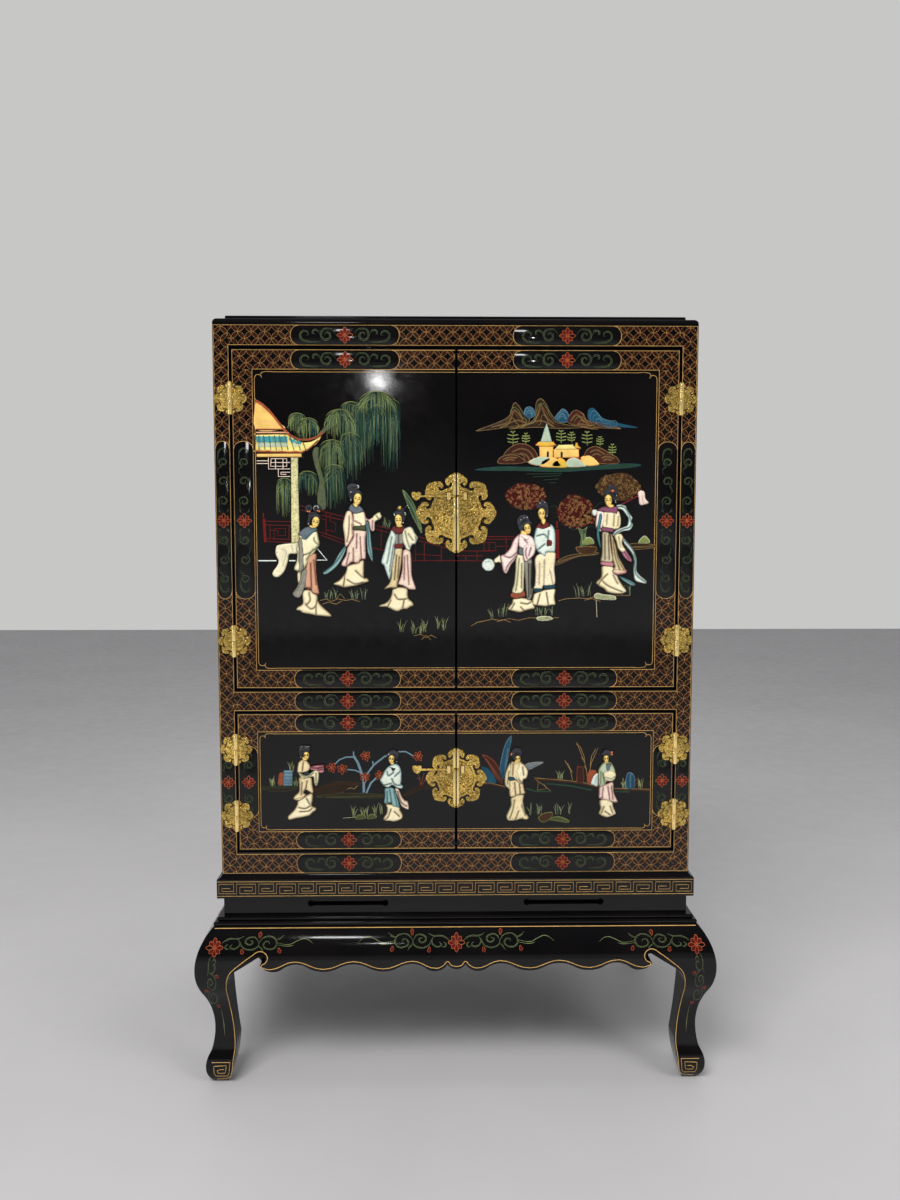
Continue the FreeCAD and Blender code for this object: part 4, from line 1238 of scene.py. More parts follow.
# carved soapstone ladies, each measured from her foot
ladies = {
    "lady_by_rock": {
        "door": "upper_left",
        "foot": (-272.0, 900.0),
        "face": (9, 177.5, 8.6, 11.6, -12),
        "parts": [
            ("ivory", "fold", 1.5, 3.5, 7, 0, [(-18, 48), (-5, 52), (10, 43), (12, 31), (17, 23),
                (25, 15), (36, 5), (35, 0), (20, 1), (9, 2), (-6, 5), (-17, 7), (-23, 11), (-30, 13),
                (-27, 19), (-20, 23), (-17, 29)], [[(-12, 25), (-2, 15), (7, 20), (10, 31)], [(8, 20),
                (8, 4)], [(-5, 46), (-3, 31), (-11, 22)]]),
            ("ivory", "fold", 3, 2, 5, 3, [(-25, 86), (-10, 92), (-9, 57), (-14, 55), (-24, 61),
                (-27, 74)], [[(-19, 82), (-20, 62)]]),
            ("peach", "rust", 3.2, 2.6, 5, 0, [(-4, 117), (10, 119), (9, 101), (10, 78), (12, 62),
                (15, 44), (8, 43), (0, 45), (-2, 52), (-12, 56), (-13, 78), (-10, 98)], [[(-1, 101),
                (0, 54)], [(5, 107), (9, 61)]]),
            ("grey", "ink", 4.6, 1.4, 2, 12, [(-17.5, 88), (-7, 89.5), (-9, 70.5), (-12.5, 55.5),
                (-20, 38.5), (-29, 36.5), (-36, 44.5), (-27, 57.5), (-21, 73.5)], []),
            ("ivory", "sage", 4.2, 3.2, 8, 1, [(-22, 159), (-4, 167), (10, 164), (15, 146), (16, 136),
                (10, 127), (5, 119), (-3, 111), (-9, 96), (-19, 85), (-31, 88), (-32, 94), (-28, 104),
                (-26, 120), (-28, 128), (-22, 146)], [[(15, 135), (7, 142), (6, 149)], [(13, 132),
                (-3, 120), (-13, 117)], [(4, 127), (-9, 107)]]),
            ("grey", "sage", 6.9, 0.7, 1, 20, [(-23, 145), (-16, 147.5), (-13, 120.5), (-13, 94.5),
                (-19, 86), (-24, 88), (-23, 120.5)], []),
            ("slate", "ink", 6.9, 0.9, 2, 6, [(-21.5, 159.5), (-12, 167.5), (-2.5, 170), (3.5, 166.5),
                (9.5, 167.5), (11.5, 163), (1, 154), (-8, 144.5), (-16, 146), (-18.5, 152.5),
                (-23.5, 155)], []),
            ("teal", "deepTeal", 7.4, 0.6, 1.5, 0, [(-11, 150), (9.5, 166.5), (11, 163), (-3.5, 152.5),
                (-8.5, 145.5)], []),
            ("skin", "skinShade", 4, 2.5, 3, 0, [(-2, 173.5), (7.5, 170), (6.5, 165.5), (-2.5, 167)], []),
            ("hair", "hairShine", 4.5, 2.4, 4, 0, [(-4, 193), (3, 197), (12, 195), (18, 189), (18, 183),
                (12, 186), (4, 187), (0, 181), (-1, 175), (-5, 173), (-7, 178), (-5, 185)], [[(-2, 191),
                (12, 191)]]),
            ("hair", "hairShine", 5, 2.6, 5, 0, [(-10, 201), (-9, 208), (-3, 211), (2, 209), (4, 203),
                (0, 197), (-6, 196)], []),
            ("hair", "hairShine", 5, 2.6, 5, 0, [(4, 202), (6, 209), (13, 211), (19, 208), (20, 203),
                (16, 198), (8, 197)], []),
        ],
        "lines": [
            ("wine", 0.9, 6.2, [[(-11.5, 56.5), (-2, 55.5), (0.5, 48.5), (6, 44), (14, 43.5)]]),
            ("ink", 0.6, 6.0, [[(-32.5, 45), (-24.5, 55.5), (-17, 70.5), (-13.5, 86.5)]]),
            ("hairShine", 0.6, 7.6, [[(-4.5, 193.5), (4.5, 196.5), (14, 195.5)]]),
        ],
        "beads": [
            ("coral", 1.9, 7.2, [(-5, 198), (-1.5, 197.5), (13.5, 199), (16.5, 198)]),
            ("mist", 1.0, 7.7, [(7.5, 207), (10, 208), (13.5, 207.5), (6, 204), (14.5, 205)]),
            ("mist", 0.8, 7.6, [(-4, 175), (-4, 173)]),
        ],
    },
    "lady_in_pink": {
        "door": "upper_left",
        "foot": (-195.0, 955.0),
        "face": (10.5, 165.5, 9.1, 11.9, -8),
        "parts": [
            ("ivory", "fold", 1.5, 3.5, 7, 0, [(-10, 42), (6, 47), (21, 53), (22, 36), (22, 19), (27, 19),
                (31, 12), (24, 9), (17, 7), (8, 4), (-2, 2), (-14, 0), (-23, 2), (-36, 6), (-35, 9),
                (-25, 15), (-16, 25), (-12, 33)], [[(-14, 25), (-17, 3)], [(6, 32), (16, 22),
                (21, 19)], [(-10, 15), (5, 7), (20, 10)]]),
            ("sky", "teal", 2.2, 1.4, 2, 0, [(25, 131), (30, 127), (34, 104), (36, 81.5), (38, 65),
                (38.5, 49), (36, 50.5), (29, 65), (27, 81.5), (26, 104), (24, 125)], [[(29, 119),
                (31, 81), (36, 57)]]),
            ("sky", "teal", 1.2, 1.6, 2, 0, [(-11, 81.5), (-12.5, 69.5), (-21.5, 51), (-30.5, 39),
                (-46, 27), (-53.5, 25), (-55.5, 28.5), (-49, 34.5), (-36.5, 45), (-26, 63.5),
                (-15.5, 77)], [[(-14, 75), (-25, 56), (-37, 42), (-52, 29)]]),
            ("blush", "rose", 3.4, 3, 6, 5, [(3, 110), (26, 108), (25, 89), (26, 58), (23, 53), (16, 53),
                (13, 47), (6, 46), (0, 48), (-8, 42), (-14, 39), (-21, 42), (-19, 50), (-12, 62),
                (-9, 78), (1, 95)], [[(2, 74), (2, 50)], [(15, 95), (17, 54)], [(-6, 65),
                (-11, 44)], [(9, 101), (8, 74)]]),
            ("ivory", "rose", 5, 2.2, 5, 0, [(3, 143), (21, 144), (26, 131), (24, 115), (3, 115),
                (2, 131)], [[(5, 125), (17, 119)]]),
            ("moss", "ink", 6.6, 1, 1.5, 0, [(3, 115.5), (24, 118), (26, 113), (25, 107), (12, 108),
                (2.5, 108.5)], []),
            ("ivory", "rose", 5.2, 3, 6, 1, [(-9, 144), (0, 143), (3, 125), (4, 107), (3, 98), (-6, 80),
                (-12, 77), (-14, 81), (-15, 98), (-17, 111), (-17, 120), (-14, 134)], [[(-5, 134),
                (-6, 104), (-10, 86)], [(0, 119), (1, 101)]]),
            ("blush", "rose", 4.6, 2.4, 4, 0, [(22, 143), (27, 131), (32, 129), (38, 132), (42, 134),
                (43, 119), (42, 107), (38, 106), (34, 109), (30, 125), (25, 125)], [[(38, 125),
                (38, 110)]]),
            ("ivory", "sage", 5, 2, 4, 0, [(38, 132), (45, 139), (52, 142), (54, 138), (56, 134),
                (53, 129), (45, 125), (41, 120)], [[(45, 135), (50, 129)]]),
            ("slate", "ink", 6.8, 1.2, 3, 5, [(-5, 151), (-0.5, 157), (7, 152), (13, 154.5), (18.5, 151),
                (22.5, 144.5), (17, 140.5), (7, 138), (-1, 141), (-6, 146)], []),
            ("skin", "skinShade", 4.5, 3, 3, 0, [(2.5, 159.5), (11, 156.5), (12, 151), (7, 149),
                (2.5, 153)], []),
            ("hair", "hairShine", 4.5, 2.4, 4, 0, [(-5, 182), (4, 185), (14, 183), (19, 177), (19, 171),
                (14, 175), (7, 175), (3, 170), (0, 164), (-3, 165), (-6, 173), (-7, 179)], [[(-3, 177),
                (2, 180), (13, 180)]]),
            ("hair", "hairShine", 5.4, 2.8, 6, 0, [(-9, 186), (-7, 192), (1, 195), (8, 194), (15, 190),
                (14, 186), (7, 182), (-1, 181), (-6, 180)], [[(-4, 188), (2, 191), (10, 189)]]),
        ],
        "lines": [
            ("wine", 0.8, 6.2, [[(-21, 43), (-14, 40), (-8, 43), (0.5, 49), (6.5, 46.5), (13, 48),
                (16, 53), (23, 54), (25.5, 58)]]),
            ("rose", 0.8, 8.0, [[(4, 105.5), (-1, 90.5), (-10.5, 78)]]),
        ],
        "beads": [
            ("mist", 1.1, 8.0, [(11.5, 191), (13, 189.5), (12.5, 187), (-1.5, 179)]),
            ("mist", 0.8, 8.0, [(-2, 165.5), (-1.5, 163.5)]),
        ],
    },
    "lady_with_brown_collar": {
        "door": "upper_left",
        "foot": (-109.0, 910.0),
        "face": (1, 170.5, 8.4, 12.5, 4),
        "parts": [
            ("ivory", "fold", 1.5, 3.5, 7, 0, [(-11, 43), (2, 47), (17, 44), (18, 32), (20, 24), (26, 19),
                (29, 12), (22, 8), (16, 4), (8, 4), (0, 0), (-8, 1), (-18, 6), (-23, 8), (-37, 9),
                (-34, 13), (-24, 17), (-17, 24), (-13, 34)], [[(-7, 32), (0, 23), (16, 24)], [(-14, 21),
                (-20, 10)], [(11, 23), (8, 7)]]),
            ("beige", "fold", 3.4, 2.8, 6, 4, [(-6, 120), (8, 120), (7, 97), (4, 75), (0, 57), (-3, 44),
                (-15, 44), (-27, 42), (-24, 47), (-17, 55), (-14, 68), (-13, 91), (-9, 106)], [[(-3, 106),
                (-7, 60)], [(2, 103), (-1, 63)]]),
            ("blush", "rose", 3.6, 3, 5, 6, [(9, 115), (22, 115), (25, 97), (26, 68), (33, 46), (31, 41),
                (19, 42), (8, 48), (-1, 52), (4, 66), (7, 83)], [[(17, 106), (20, 51)], [(12, 103),
                (11, 60)]]),
            ("grey", "slate", 4.8, 2, 4, 0, [(-5, 147), (9, 147), (9, 127), (-6, 127)], [[(1, 144),
                (1, 129)]]),
            ("wine", "rose", 6.2, 1, 1.5, 0, [(-6, 127), (7.5, 128.5), (8.5, 120), (-6.5, 119.5)], []),
            ("mist", "sky", 5, 3, 7, 3, [(-12, 154), (-5, 147), (-3, 140), (-5, 127), (-7, 109),
                (-10, 91), (-13, 72), (-16, 59), (-20, 66), (-24, 77), (-27, 86), (-32, 92), (-30, 103),
                (-26, 115), (-22, 131), (-17, 144)], [[(-12, 140), (-16, 115), (-21, 91)], [(-8, 127),
                (-13, 97), (-16, 75)]]),
            ("ivory", "sky", 5.6, 2.8, 6, 1, [(8, 154), (15, 158), (22, 160), (28, 156), (31, 149),
                (37, 140), (36, 135), (32, 127), (27, 126), (24, 121), (22, 115), (16, 116), (12, 123),
                (8, 132), (7, 144)], [[(13, 152), (16, 137), (21, 121)], [(19, 146),
                (28, 134)], [(33, 141), (34, 131)]]),
            ("wine", "ink", 6.9, 1, 2.5, 2, [(-12, 156.5), (-7, 161.5), (-1, 158), (5.5, 159),
                (11.5, 161.5), (12.5, 155), (9, 148), (2, 145.5), (-5.5, 147.5), (-10, 151)], []),
            ("skin", "skinShade", 4, 3, 3, 0, [(-3, 163.5), (7.5, 163.5), (7.5, 158), (-2.5, 158)], []),
            ("hair", "hairShine", 4.5, 2.4, 4, 0, [(-9, 185), (-4, 189), (5, 190), (13, 188), (15, 182),
                (14, 175), (10, 168), (8, 173), (7, 180), (1, 182), (-5, 179), (-8, 179)], [[(-5, 185),
                (5, 186)]]),
            ("hair", "hairShine", 5, 2.8, 5, 0, [(-2, 189), (-2, 196), (2, 200), (7, 197), (10, 193),
                (12, 189)], []),
            ("hair", "hairShine", 2, 1.4, 2, 0, [(8.5, 193.5), (16.5, 200.5), (17.5, 198),
                (11.5, 191)], []),
        ],
        "lines": [
            ("ink", 0.9, 6.4, [[(-22, 43), (-13.5, 45), (-3, 44.5)], [(0.5, 52.5), (8, 49.5), (14.5, 47)]]),
        ],
        "beads": [
            ("amber", 2.0, 7.6, [(2, 195), (4.5, 196), (3.5, 193.5)]),
            ("mist", 1.2, 7.2, [(-7, 183), (13, 185.5), (14, 182.5), (9.5, 167), (-6, 180.5)]),
            ("mist", 0.9, 3.4, [(17.5, 199), (20, 195)]),
        ],
    },
    "lady_with_round_fan": {
        "door": "upper_right",
        "foot": (98.0, 908.0),
        "face": (35.5, 157.5, 8.0, 10.4, 14),
        "parts": [
            ("ivory", "fold", 1.5, 3.5, 6, 0, [(9, 26), (21, 29), (36, 27), (45, 23), (51, 10), (50, 7),
                (37, 4), (25, 0), (18, 0), (6, 3), (-1, 6), (2, 12), (7, 18)], [[(24, 18), (36, 16),
                (43, 20)], [(12, 17), (6, 7)], [(24, 10), (30, 3)]]),
            ("ivory", "sage", 3.4, 2.8, 6, 3, [(15, 108), (29, 110), (31, 84), (30, 62), (29, 41),
                (21, 35), (7, 38), (11, 57), (13, 80)], [[(20, 101), (17, 62), (14, 41)], [(25, 92),
                (25, 47)]]),
            ("rust", "wine", 3.2, 2.8, 4, 2, [(6, 38), (21, 37), (31, 42), (33, 30), (24, 28), (18, 25),
                (4, 29)], []),
            ("grey", "ink", 3.8, 2.2, 4, 0, [(29, 101), (44, 101), (45, 77), (44, 54), (47, 42), (45, 30),
                (42, 24), (36, 24), (33, 38), (31, 62), (29, 84)], [[(38, 92), (39, 29)], [(43, 92),
                (43, 35)]]),
            ("slate", "ink", 5.5, 1, 2, 0, [(19, 122), (28, 122), (28, 108), (19.5, 109.5)], []),
            ("pale", "rose", 5.2, 2.4, 5, 1, [(21, 149), (36, 147), (46, 141), (51, 129), (47, 121),
                (23, 121), (18, 132)], [[(30, 137), (35, 131)]]),
            ("pale", "rose", 6, 2.6, 5, 0, [(27, 125), (35, 130), (44, 129), (51, 125), (50, 113),
                (45, 105), (38, 99), (34, 95), (29, 99), (27, 108)], [[(35, 126), (32, 113),
                (35, 101)], [(42, 122), (38, 107)]]),
            ("pale", "rose", 5.2, 2.8, 6, 4, [(21, 147), (18, 122), (16, 107), (10, 96), (5, 90),
                (-1, 77), (-5, 73), (-10, 78), (-13, 92), (-15, 101), (-15, 107), (-7, 111), (3, 122),
                (7, 132), (12, 141)], [[(18, 116), (4, 104), (-9, 107)], [(14, 107), (-1, 89), (-5, 78)]]),
            ("ivory", "sage", 3.5, 2.4, 3, 0, [(-15.5, 108.5), (-20.5, 106), (-27.5, 99.5), (-25, 93),
                (-19, 94.5), (-13, 93.5)], []),
            ("mist", "teal", 2.2, 1.2, 3, 5, [(-38, 102.5), (-29, 99), (-25, 90), (-29, 81), (-38, 77.5),
                (-46.5, 81.5), (-50.5, 90), (-46.5, 99)], []),
            ("skin", "skinShade", 4.5, 2.8, 3, 0, [(24, 155.5), (35.5, 151), (34, 144.5), (23, 146.5)], []),
            ("hair", "hairShine", 4.8, 2.8, 5, 0, [(16, 170), (18, 179), (27, 184), (36, 182), (39, 174),
                (43, 168), (43, 164), (36, 166), (30, 164), (28, 159), (23, 152), (20, 156),
                (18, 162)], [[(20, 170), (27, 177), (36, 176)], [(23, 161), (29, 168), (38, 170)]]),
        ],
        "lines": [
            ("ink", 0.6, 7.8, [[(23, 144.5), (27.5, 141), (35, 137.5), (38, 141.5)]]),
            ("teal", 0.8, 3.4, [[(-44.5, 92), (-41, 96.5), (-35, 96.5), (-31, 92)]]),
            ("ink", 0.6, 7.0, [[(27.5, 122), (28, 108.5)], [(20, 109), (28, 108)]]),
        ],
        "beads": [
            ("mist", 0.9, 7.6, [(22.5, 174.5), (28.5, 179), (34.5, 179)]),
        ],
    },
    "lady_in_pale_blue": {
        "door": "upper_right",
        "foot": (166.0, 919.0),
        "face": (-6, 174, 8.3, 11.5, 4),
        "parts": [
            ("ivory", "fold", 1.5, 3.5, 5, 0, [(-19, 25), (-8, 30), (20, 35), (20, 18), (22, 7), (21, 3),
                (13, 2), (2, 0), (-8, 1), (-21, 3), (-23, 10), (-21, 19)], [[(-8, 24),
                (-13, 4)], [(4, 27), (8, 3)]]),
            ("ivory", "blush", 3.2, 3, 6, 3, [(-16, 96), (19, 105), (19, 72), (20, 42), (-1, 38),
                (-4, 33), (-20, 34), (-18, 42), (-17, 66)], [[(0, 88), (-1, 39)], [(11, 66),
                (16, 43)], [(-9, 81), (-10, 42)]]),
            ("deepTeal", "ink", 3.6, 2.6, 3, 0, [(-2.5, 41), (20.5, 42), (20.5, 35.5), (10, 32.5),
                (-1, 34.5)], []),
            ("deepTeal", "ink", 3.4, 2.6, 3, 0, [(-20.5, 35.5), (-4, 36), (-3.5, 30.5), (-13, 26.5),
                (-20.5, 29.5)], []),
            ("mist", "teal", 5, 3, 7, 1, [(-14, 153), (-5, 150), (6, 156), (15, 153), (20, 141),
                (21, 121), (20, 104), (14, 102), (4, 102), (3, 96), (-1, 93), (-6, 96), (-12, 102),
                (-18, 111), (-21, 123), (-20, 136), (-17, 147)], [[(-15, 133), (-2, 136),
                (5, 130)], [(7, 142), (5, 115)], [(-12, 108), (0, 118)], [(-9, 102), (-1, 94)]]),
            ("wine", "ink", 7.6, 0.9, 1.5, 0, [(4, 125.5), (13, 125.5), (13, 115), (4.5, 115)], []),
            ("wine", "ink", 6.9, 1.1, 2.5, 2, [(-15.5, 152.5), (-9.5, 160), (-5, 153.5), (2.5, 160.5),
                (10, 154.5), (12, 150.5), (1.5, 146), (-9, 146), (-17, 149.5)], []),
            ("skin", "skinShade", 4.5, 2.8, 3, 0, [(-7.5, 167), (1.5, 165), (0.5, 155), (-5.5, 155)], []),
            ("hair", "hairShine", 4.6, 2.8, 5, 0, [(-15, 183), (-16, 190), (-11, 197), (-4, 200),
                (3, 196), (6, 189), (7, 177), (5, 169), (1, 167), (1, 177), (-3, 183),
                (-10, 185)], [[(-11, 190), (-4, 193), (2, 189)]]),
        ],
        "lines": [],
        "beads": [
            ("mist", 0.9, 7.6, [(-9.5, 194.5), (-0.5, 196), (3.5, 171)]),
        ],
    },
    "lady_with_ribbons": {
        "door": "upper_right",
        "foot": (307.0, 942.0),
        "face": (-22, 176, 8.3, 12.1, 4),
        "parts": [
            ("ivory", "fold", 1.5, 3.5, 7, 0, [(-32, 54), (-14, 56), (-4, 41), (1, 28), (9, 16), (15, 8),
                (13, 3), (1, 0), (-10, 1), (-22, 4), (-28, 10), (-37, 15), (-43, 21), (-41, 26),
                (-35, 31), (-33, 39)], [[(-22, 38), (-35, 25), (-38, 17)], [(-34, 28), (-20, 16),
                (6, 5)], [(-11, 36), (-2, 20)]]),
            ("sky", "teal", 1.2, 1.4, 2, 3, [(-0.5, 36), (12.5, 31), (26, 24.5), (32, 19), (29, 16),
                (21, 18), (6, 28)], [[(3, 34), (28, 19)]]),
            ("mist", "teal", 1.2, 1.4, 2.4, 5, [(6.5, 108), (15, 100), (25, 88.5), (31.5, 75.5),
                (34, 62.5), (34, 46), (39, 37.5), (49, 29.5), (53.5, 24.5), (51.5, 20), (42.5, 21.5),
                (33, 24.5), (29, 31), (27.5, 46), (28.5, 62.5), (25, 75.5), (16.5, 87),
                (7.5, 98.5)], [[(10, 102), (22, 89), (30, 74), (31, 44), (37, 33), (51, 23)]]),
            ("mist", "teal", 2.6, 2, 2.6, 2, [(-6, 168.5), (4, 169), (11.5, 166.5), (14, 160.5),
                (20.5, 150.5), (24.5, 144), (22.5, 137.5), (25.5, 131), (19.5, 121), (4.5, 118),
                (-10, 109.5), (-13.5, 114.5), (-5, 123), (8, 127.5), (14.5, 131), (16, 142.5),
                (11, 150.5), (4, 158.5), (-6, 161.5)], [[(-3, 165), (9, 163), (19, 146), (21, 128),
                (5, 122), (-10, 113)]]),
            ("ivory", "beige", 5, 2.6, 6, 2, [(-29, 159), (-6, 159), (1, 149), (2, 133), (-2, 124),
                (-13, 122), (-33, 127), (-32, 141)], [[(-24, 150), (-25, 131)], [(-11, 149),
                (-12, 128)], [(-3, 146), (-4, 129)]]),
            ("pale", "rose", 4.6, 2.6, 4, 4, [(-43, 159), (-30, 155), (-28, 141), (-32, 128), (-34, 118),
                (-42, 121), (-46, 131), (-45, 146)], [[(-37, 150), (-38, 124)]]),
            ("teal", "deepTeal", 6.8, 1, 2, 0, [(-37, 153.5), (-33, 147), (-36, 134), (-38.5, 121),
                (-37.5, 105), (-35, 90), (-37, 88), (-42, 101.5), (-44, 118), (-42.5, 134),
                (-40, 147)], []),
            ("mist", "rose", 3, 2.4, 3, 0, [(-53.5, 153.5), (-51.5, 159.5), (-43.5, 160), (-40.5, 155.5),
                (-45, 147), (-50.5, 148.5)], []),
            ("dove", "fold", 3.2, 2.8, 5, 4, [(-33, 120), (-20, 118), (-15, 88), (-12, 61), (-34, 62),
                (-35, 67), (-33, 80)], [[(-28, 113), (-27, 66)], [(-21, 111), (-19, 66)]]),
            ("rose", "wine", 3.4, 2.6, 3, 0, [(-34.5, 62.5), (-12.5, 62), (-10, 54), (-13.5, 51.5),
                (-33.5, 55)], []),
            ("beige", "fold", 3.8, 3, 5, 4, [(-18, 118), (-12, 108), (-5, 88), (-1, 72), (6, 59),
                (14, 44), (12, 40), (6, 39), (-4, 37), (-13, 41), (-13, 48), (-9, 52), (-13, 66),
                (-15, 88)], [[(-12, 102), (-8, 72), (1, 48)], [(-8, 98), (-3, 69), (9, 46)]]),
            ("rose", "wine", 3.9, 3.1, 2, 0, [(-12.5, 47), (-7.5, 49), (12.5, 47.5), (14.5, 44),
                (12.5, 39.5), (-4, 36.5), (-12.5, 40.5)], [[(-9, 44), (9, 43)]]),
            ("ivory", "beige", 4.6, 2.6, 5, 5, [(-10, 111), (1, 115), (7, 108), (5, 98), (8, 90),
                (12, 84), (5, 79), (-3, 87), (-6, 98)], [[(-2, 108), (2, 89)]]),
            ("rose", "mauve", 3.6, 2.4, 4, 0, [(4, 82), (10, 87), (17, 77), (24, 66), (23, 61), (15, 64),
                (7, 72)], [[(9, 80), (19, 66)]]),
            ("mauve", "ink", 7, 0.9, 1.5, 0, [(-34, 127), (-12.5, 125), (-12, 119), (-15, 117),
                (-35, 120)], []),
            ("mauve", "ink", 6.8, 1.2, 2.5, 4, [(-42.5, 160), (-29, 166), (-20.5, 164), (-5.5, 166),
                (-4.5, 158.5), (-5.5, 151), (-15.5, 152.5), (-27, 153.5), (-30.5, 155.5),
                (-41, 156.5)], []),
            ("skin", "skinShade", 4.5, 2.8, 3, 0, [(-23, 170), (-12, 169), (-12.5, 162.5),
                (-22, 162.5)], []),
            ("hair", "hairShine", 4.6, 2.8, 4, 0, [(-31, 188), (-28, 196), (-21, 201), (-13, 202),
                (-6, 199), (-4, 191), (-6, 183), (-9, 176), (-14, 179), (-16, 184), (-22, 188),
                (-29, 185)], [[(-26, 191), (-18, 196), (-8, 193)]]),
            ("hair", "hairShine", 5.4, 2.6, 4, 0, [(-25, 200), (-22, 204), (-15, 205), (-9, 204),
                (-6, 198), (-13, 198)], []),
        ],
        "lines": [
            ("wine", 0.8, 6.4, [[(-34.5, 62.5), (-12.5, 61.5)]]),
        ],
        "beads": [
            ("coral", 1.8, 7.9, [(-16.5, 194.5), (-14, 195.5), (-14.5, 193.5)]),
            ("mist", 0.9, 7.6, [(-9.5, 176), (-8.5, 173), (-7.5, 186)]),
        ],
    },
    "lady_with_box": {
        "door": "lower_left",
        "foot": (-287.0, 509.0),
        "face": (2, 126.5, 6.6, 8.3, 6),
        "parts": [
            ("ivory", "fold", 1.5, 3.8, 7, 0, [(-16, 39), (-2, 48), (12, 53), (13, 40), (11, 29),
                (15, 26), (19, 24), (19, 19), (13, 15), (7, 9), (-3, 6), (-19, 3), (-33, 0), (-36, 6),
                (-33, 11), (-24, 20), (-19, 28), (-17, 34)], [[(-14, 25), (-2, 23), (8, 28)], [(-12, 17),
                (4, 18), (11, 23)], [(1, 43), (7, 31)]]),
            ("shell", "fold", 3.4, 2.8, 6, 3, [(-12, 85), (10, 85), (13, 68), (15, 54), (10, 53), (0, 59),
                (-4, 54), (1, 50), (-4, 43), (-13, 38), (-24, 41), (-22, 48), (-14, 56),
                (-13, 68)], [[(-7, 74), (-9, 50)], [(3, 77), (-1, 59)]]),
            ("shell", "fold", 4.8, 2.4, 5, 0, [(-13, 114), (-6, 119), (3, 116), (9, 107), (8, 99),
                (1, 94), (-15, 93), (-16, 101), (-15, 108)], [[(-4, 114), (-6, 97)]]),
            ("ivory", "sage", 5.4, 2.8, 5, 0, [(-13, 94), (1, 88), (11, 94), (18, 99), (25, 97), (26, 88),
                (24, 74), (20, 67), (16, 73), (14, 85), (4, 82), (-6, 82), (-11, 86)], [[(-8, 88),
                (4, 85), (15, 93)], [(20, 93), (20, 71)]]),
            ("deepTeal", "ink", 6.8, 0.8, 1.2, 0, [(-1, 94.5), (8, 94.5), (6.5, 90), (-1.5, 90)], []),
            ("rose", "wine", 5, 2.8, 2.5, 0, [(9, 105), (20, 108), (33.5, 108.5), (35.5, 105), (35, 94),
                (25.5, 92.5), (22.5, 96), (10.5, 98.5), (7.5, 101.5)], [[(23, 99), (35, 100)], [(10, 103),
                (23, 102), (35, 105)]]),
            ("skin", "skinShade", 4.5, 2.6, 3, 0, [(-5, 124.5), (3.5, 121), (2.5, 116), (-6, 118)], []),
            ("hair", "hairShine", 4.8, 2.8, 4, 0, [(-12, 136), (-10, 144), (-4, 146), (5, 146), (9, 144),
                (8, 137), (8, 133), (0, 133), (-4, 130), (-5, 124), (-9, 125), (-12, 130)], [[(-8, 138),
                (-1, 141), (6, 141)]]),
        ],
        "lines": [
            ("mist", 0.5, 7.7, [[(-10, 137.5), (-8, 143.5), (-4, 145.5)], [(-1.5, 145), (3.5, 143.5),
                (8.5, 144.5)]]),
            ("ink", 0.5, 6.4, [[(-23, 42), (-11, 45.5), (-1.5, 49)]]),
        ],
        "beads": [
            ("ink", 0.8, 6.3, [(-8.5, 79.5), (5.5, 66.5)]),
            ("mist", 0.8, 7.4, [(-8.5, 124)]),
        ],
    },
    "lady_in_teal": {
        "door": "lower_left",
        "foot": (-118.0, 505.0),
        "face": (-5.5, 123, 6.9, 8.8, -6),
        "parts": [
            ("ivory", "fold", 1.5, 3.8, 6, 0, [(-16, 36), (9, 31), (11, 23), (15, 16), (16, 9), (12, 4),
                (0, 0), (-9, 1), (-19, 2), (-22, 7), (-16, 17), (-15, 26)], [[(-7, 25), (-12, 11),
                (-18, 5)], [(0, 20), (9, 11)]]),
            ("sky", "teal", 3.4, 2.8, 6, 2, [(-18, 67), (-2, 67), (5, 51), (10, 29), (3, 28), (-4, 31),
                (-8, 37), (-20, 36), (-19, 51)], [[(-9, 63), (-5, 35)], [(-1, 60), (5, 31)], [(-14, 60),
                (-14, 39)]]),
            ("blush", "wine", 3.6, 2.8, 4, 0, [(1, 67), (8, 66), (14, 51), (20, 43), (26, 40), (28, 26),
                (24, 24), (15, 29), (11, 34), (6, 48), (2, 58)], [[(6, 60), (12, 40), (23, 31)]]),
            ("mist", "teal", 5, 3, 6, 1, [(-14, 107), (-5, 113), (4, 114), (11, 108), (14, 96), (14, 81),
                (13, 75), (17, 70), (14, 65), (4, 67), (-4, 72), (-11, 67), (-20, 70), (-26, 78),
                (-28, 83), (-23, 92), (-20, 99)], [[(-14, 99), (-11, 91), (-2, 97)], [(11, 99),
                (1, 90)], [(-22, 72), (-6, 76)], [(-5, 85), (1, 74), (13, 72)]]),
            ("slate", "ink", 7, 1, 2, 10, [(-9, 108.5), (4, 108.5), (2.5, 100), (-5, 98.5)], []),
            ("skin", "skinShade", 4.5, 2.6, 3, 0, [(-8, 118), (-0.5, 118), (-1, 111.5), (-7, 112)], []),
            ("hair", "hairShine", 4.8, 2.8, 4, 0, [(-14, 133), (-9, 139), (-1, 141), (7, 137), (9, 131),
                (7, 126), (3, 121), (0, 127), (-5, 130), (-12, 128)], [[(-9, 134), (-1, 137), (5, 132)]]),
        ],
        "lines": [
            ("wine", 0.7, 7.2, [[(-19, 70.5), (-11.5, 69), (-4, 73)], [(4, 67.5), (13.5, 65.5)]]),
            ("fold", 0.7, 6.2, [[(-19, 36.5), (-8.5, 37.5)]]),
        ],
        "beads": [
            ("mist", 1.3, 7.4, [(-10.5, 133)]),
            ("ink", 0.8, 6.4, [(-12.5, 47)]),
            ("mist", 0.8, 7.2, [(4.5, 118.5)]),
        ],
    },
    "lady_in_cream": {
        "door": "lower_right",
        "foot": (116.0, 506.0),
        "face": (2, 121.5, 6.2, 7.6, 10),
        "parts": [
